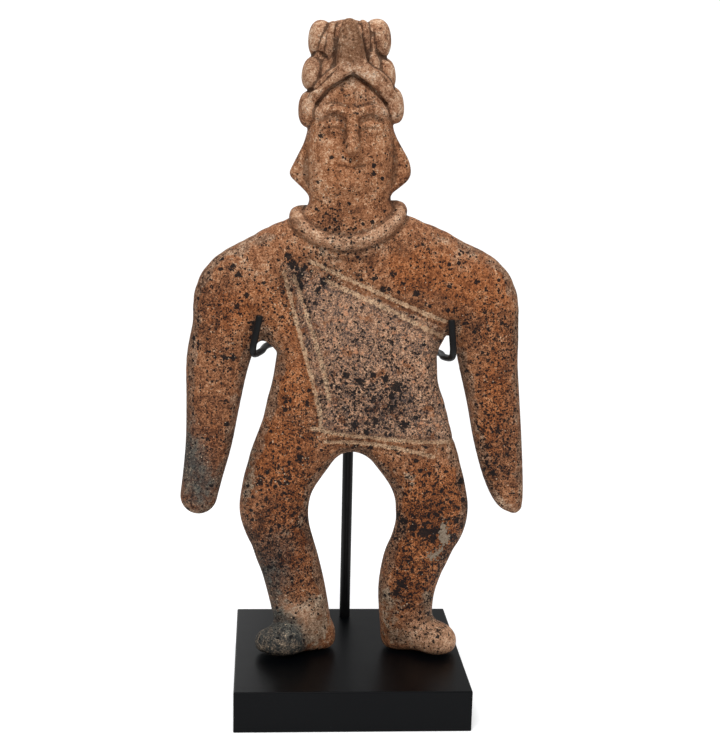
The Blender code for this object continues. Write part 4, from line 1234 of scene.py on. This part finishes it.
class POTTERY_OT_figure(bpy.types.Operator):
    """Build the clay figure with its zones of colour"""
    bl_idname = "pottery.figure"
    bl_label = "Clay Figure"

    def execute(self, context):
        points, faces = figure_skin()
        masks = clay_zones(points, faces)
        points = points * MM
        points[:, 2] += BASE_HEIGHT + TOUCH_GAP
        surface = fired_clay(context.scene.pottery_clay)
        add_piece("clay_figure", points, faces.tolist(), surface, "figure", masks)
        return {"FINISHED"}


class POTTERY_OT_base(bpy.types.Operator):
    """Build the square black base"""
    bl_idname = "pottery.base"
    bl_label = "Base Block"

    def execute(self, context):
        edge = context.scene.pottery_stand.arris
        points, faces = block_skin(BASE_WIDTH, BASE_DEPTH, BASE_HEIGHT, edge)
        add_piece("base_block", points, faces, black_lacquer(), "stand_base",
                  smooth=False)
        return {"FINISHED"}


class POTTERY_OT_rod(bpy.types.Operator):
    """Build the upright rod behind the figure"""
    bl_idname = "pottery.rod"
    bl_label = "Rod"

    def execute(self, context):
        heights = np.linspace(BASE_HEIGHT - ROD_EDGE, ROD_TOP, ROD_ROWS)
        path = np.array([(*ROD_PLACE, z) for z in heights])
        path, radii = eased_ends(path, ROD_DIAMETER / 2, ROD_EDGE)
        points, faces = carried(path, radii, 32)
        add_piece("upright_rod", points, faces, black_steel(), "stand_rod")
        return {"FINISHED"}


class POTTERY_OT_hooks(bpy.types.Operator):
    """Build the two wire hooks that hold the figure under its arms"""
    bl_idname = "pottery.hooks"
    bl_label = "Wire Hooks"

    def execute(self, context):
        radius = context.scene.pottery_stand.wire / 2
        surface = bpy.data.materials.get("satin_black_paint") or black_steel()
        for name, places in HOOKS.items():
            path, radii = eased_ends(curve(hook_path(*places), 14), radius, WIRE_EDGE)
            points, faces = carried(path, radii, 24)
            add_piece("wire_" + name, points, faces, surface, name)
        return {"FINISHED"}


def soft_light(name, place, aim, size, power):
    """A square soft box at a place, facing the aim."""
    lamp = bpy.data.lights.new(name, "AREA")
    lamp.shape, lamp.size, lamp.energy = "SQUARE", size, power
    back = np.array(place, float) - np.array(aim, float)
    back /= np.linalg.norm(back)
    side = np.cross((0.0, 0.0, 1.0), back)
    side /= np.linalg.norm(side)
    return put(name, lamp, (side, np.cross(back, side), back, place))


# The camera that took the view, solved from the base's corners: metres, degrees, pixels.
CAMERA_PLACE = (-0.0411607, -0.6259531, 0.2632063)
CAMERA_YAW, CAMERA_PITCH, CAMERA_ROLL = 4.05, 10.55, -1.31
FOCAL_PIXELS, FRAME_PIXELS, SENSOR = 1440.2, 746, 36.0


def studio_camera():
    """The camera turned by its yaw, then its pitch, then its roll."""
    yaw, pitch, roll = (math.radians(v) for v in (CAMERA_YAW, CAMERA_PITCH, CAMERA_ROLL))
    ahead = np.array((math.sin(yaw) * math.cos(pitch), math.cos(yaw) * math.cos(pitch),
                      -math.sin(pitch)))
    right = np.array((math.cos(yaw), -math.sin(yaw), 0.0))
    down = np.cross(ahead, right)
    side = math.cos(roll) * right + math.sin(roll) * down
    up = math.sin(roll) * right - math.cos(roll) * down
    lens = bpy.data.cameras.new("studio_camera")
    lens.sensor_fit, lens.sensor_width = "AUTO", SENSOR
    lens.lens = SENSOR * FOCAL_PIXELS / FRAME_PIXELS
    lens.clip_start, lens.clip_end = 0.01, 20.0
    return put("studio_camera", lens, (side, up, -ahead, CAMERA_PLACE))


# Soft lights: name, place, height aimed at, width, and power as a share of the key light's.
LIGHTS = (
    ("key", (-0.26, -0.55, 0.88), 0.2, 0.4, 1.0), ("fill", (0.55, -0.62, 0.72), 0.2, 0.5, 0.5),
    ("top", (0.0, 0.12, 0.9), 0.2, 0.5, 0.35), ("back", (-0.3, 1.0, 0.32), 0.02, 0.5, 0.12),
)

# The floor's size in metres, where it starts and ends to fade in millimetres from the middle,
# and how bright the camera sees the room behind it.
FLOOR_RADIUS, FLOOR_SIDES = 1.2, 64
FADE_FROM, FADE_TO = 180.0, 620.0
BACKDROP_LEVEL = 1.1


def paper_floor(look):
    """A round pale floor that glows a little and turns see-through far out."""
    t = Tree("white_paper")
    at = t.place()
    paper = t.noise(at, 60.0, 2.0, 0.5)
    pale = tuple(look.paper)
    surface = t.finish(t.mix(paper, pale, tuple(0.985 * v for v in pale)), 0.9)
    t.shader.inputs["Specular IOR Level"].default_value = 0.1
    t.shader.inputs["Emission Color"].default_value = (1, 1, 1, 1)
    t.shader.inputs["Emission Strength"].default_value = look.glow
    far = t.add("ShaderNodeVectorMath", {"operation": "LENGTH"}, at, out="Value")
    t.fade(far.clear(FADE_FROM, FADE_TO))
    turn = np.arange(FLOOR_SIDES) * 2 * math.pi / FLOOR_SIDES
    ring = [(FLOOR_RADIUS * math.cos(a), FLOOR_RADIUS * math.sin(a), 0.0) for a in turn]
    mesh = bpy.data.meshes.new("floor")
    mesh.from_pydata(ring, [], [tuple(range(FLOOR_SIDES))])
    mesh.materials.append(surface)
    return put("floor", mesh)


def room_light(look):
    """Even light from all round, seen by the camera at a brightness of its own."""
    world = bpy.data.worlds.new("studio")
    world.use_nodes = True
    nodes, links = world.node_tree.nodes, world.node_tree.links
    backdrop = nodes["Background"].inputs
    backdrop["Color"].default_value = (1, 1, 1, 1)
    ray = nodes.new("ShaderNodeLightPath")
    level = nodes.new("ShaderNodeMapRange")
    level.inputs["To Min"].default_value = look.room
    level.inputs["To Max"].default_value = BACKDROP_LEVEL
    links.new(ray.outputs["Is Camera Ray"], level.inputs["Value"])
    links.new(level.outputs["Result"], backdrop["Strength"])
    return world


class POTTERY_OT_stage(bpy.types.Operator):
    """Build the pale floor, the soft lights and the camera"""
    bl_idname = "pottery.stage"
    bl_label = "Stage"

    def execute(self, context):
        look = context.scene.pottery_stage
        floor = paper_floor(look)
        context.scene.world = room_light(look)
        for name, place, height, size, share in LIGHTS:
            panel = soft_light(name, place, (0.0, 0.0, height), size, look.key * share)
            panel.visible_camera = name != "back"
        context.scene.view_settings.view_transform = "Standard"
        context.scene.camera = studio_camera()
        return {"FINISHED"}


class POTTERY_PT_panel(bpy.types.Panel):
    bl_idname = "POTTERY_PT_panel"
    bl_label = "Pottery Figure"
    bl_space_type = "VIEW_3D"
    bl_region_type = "UI"
    bl_category = "Pottery"

    def draw(self, context):
        scene, layout = context.scene, self.layout
        for group in (scene.pottery_clay, scene.pottery_stand, scene.pottery_stage):
            for name in group.__annotations__:
                layout.prop(group, name)
        for operator in OPERATORS:
            layout.operator(operator.bl_idname)


GROUPS = {"pottery_clay": PotteryClayLook, "pottery_stand": PotteryStandSizes,
          "pottery_stage": PotteryStageLook}
OPERATORS = (POTTERY_OT_figure, POTTERY_OT_base, POTTERY_OT_rod, POTTERY_OT_hooks,
             POTTERY_OT_stage)


def register():
    for group in (*GROUPS.values(), *OPERATORS, POTTERY_PT_panel):
        bpy.utils.register_class(group)
    for name, group in GROUPS.items():
        setattr(bpy.types.Scene, name, PointerProperty(type=group))


def unregister():
    for name in GROUPS:
        delattr(bpy.types.Scene, name)
    for group in (POTTERY_PT_panel, *OPERATORS[::-1], *GROUPS.values()):
        bpy.utils.unregister_class(group)


def main():
    register()
    bpy.ops.pottery.figure()
    bpy.ops.pottery.base()
    bpy.ops.pottery.rod()
    bpy.ops.pottery.hooks()
    bpy.ops.pottery.stage()


if __name__ == "__main__":
    main()
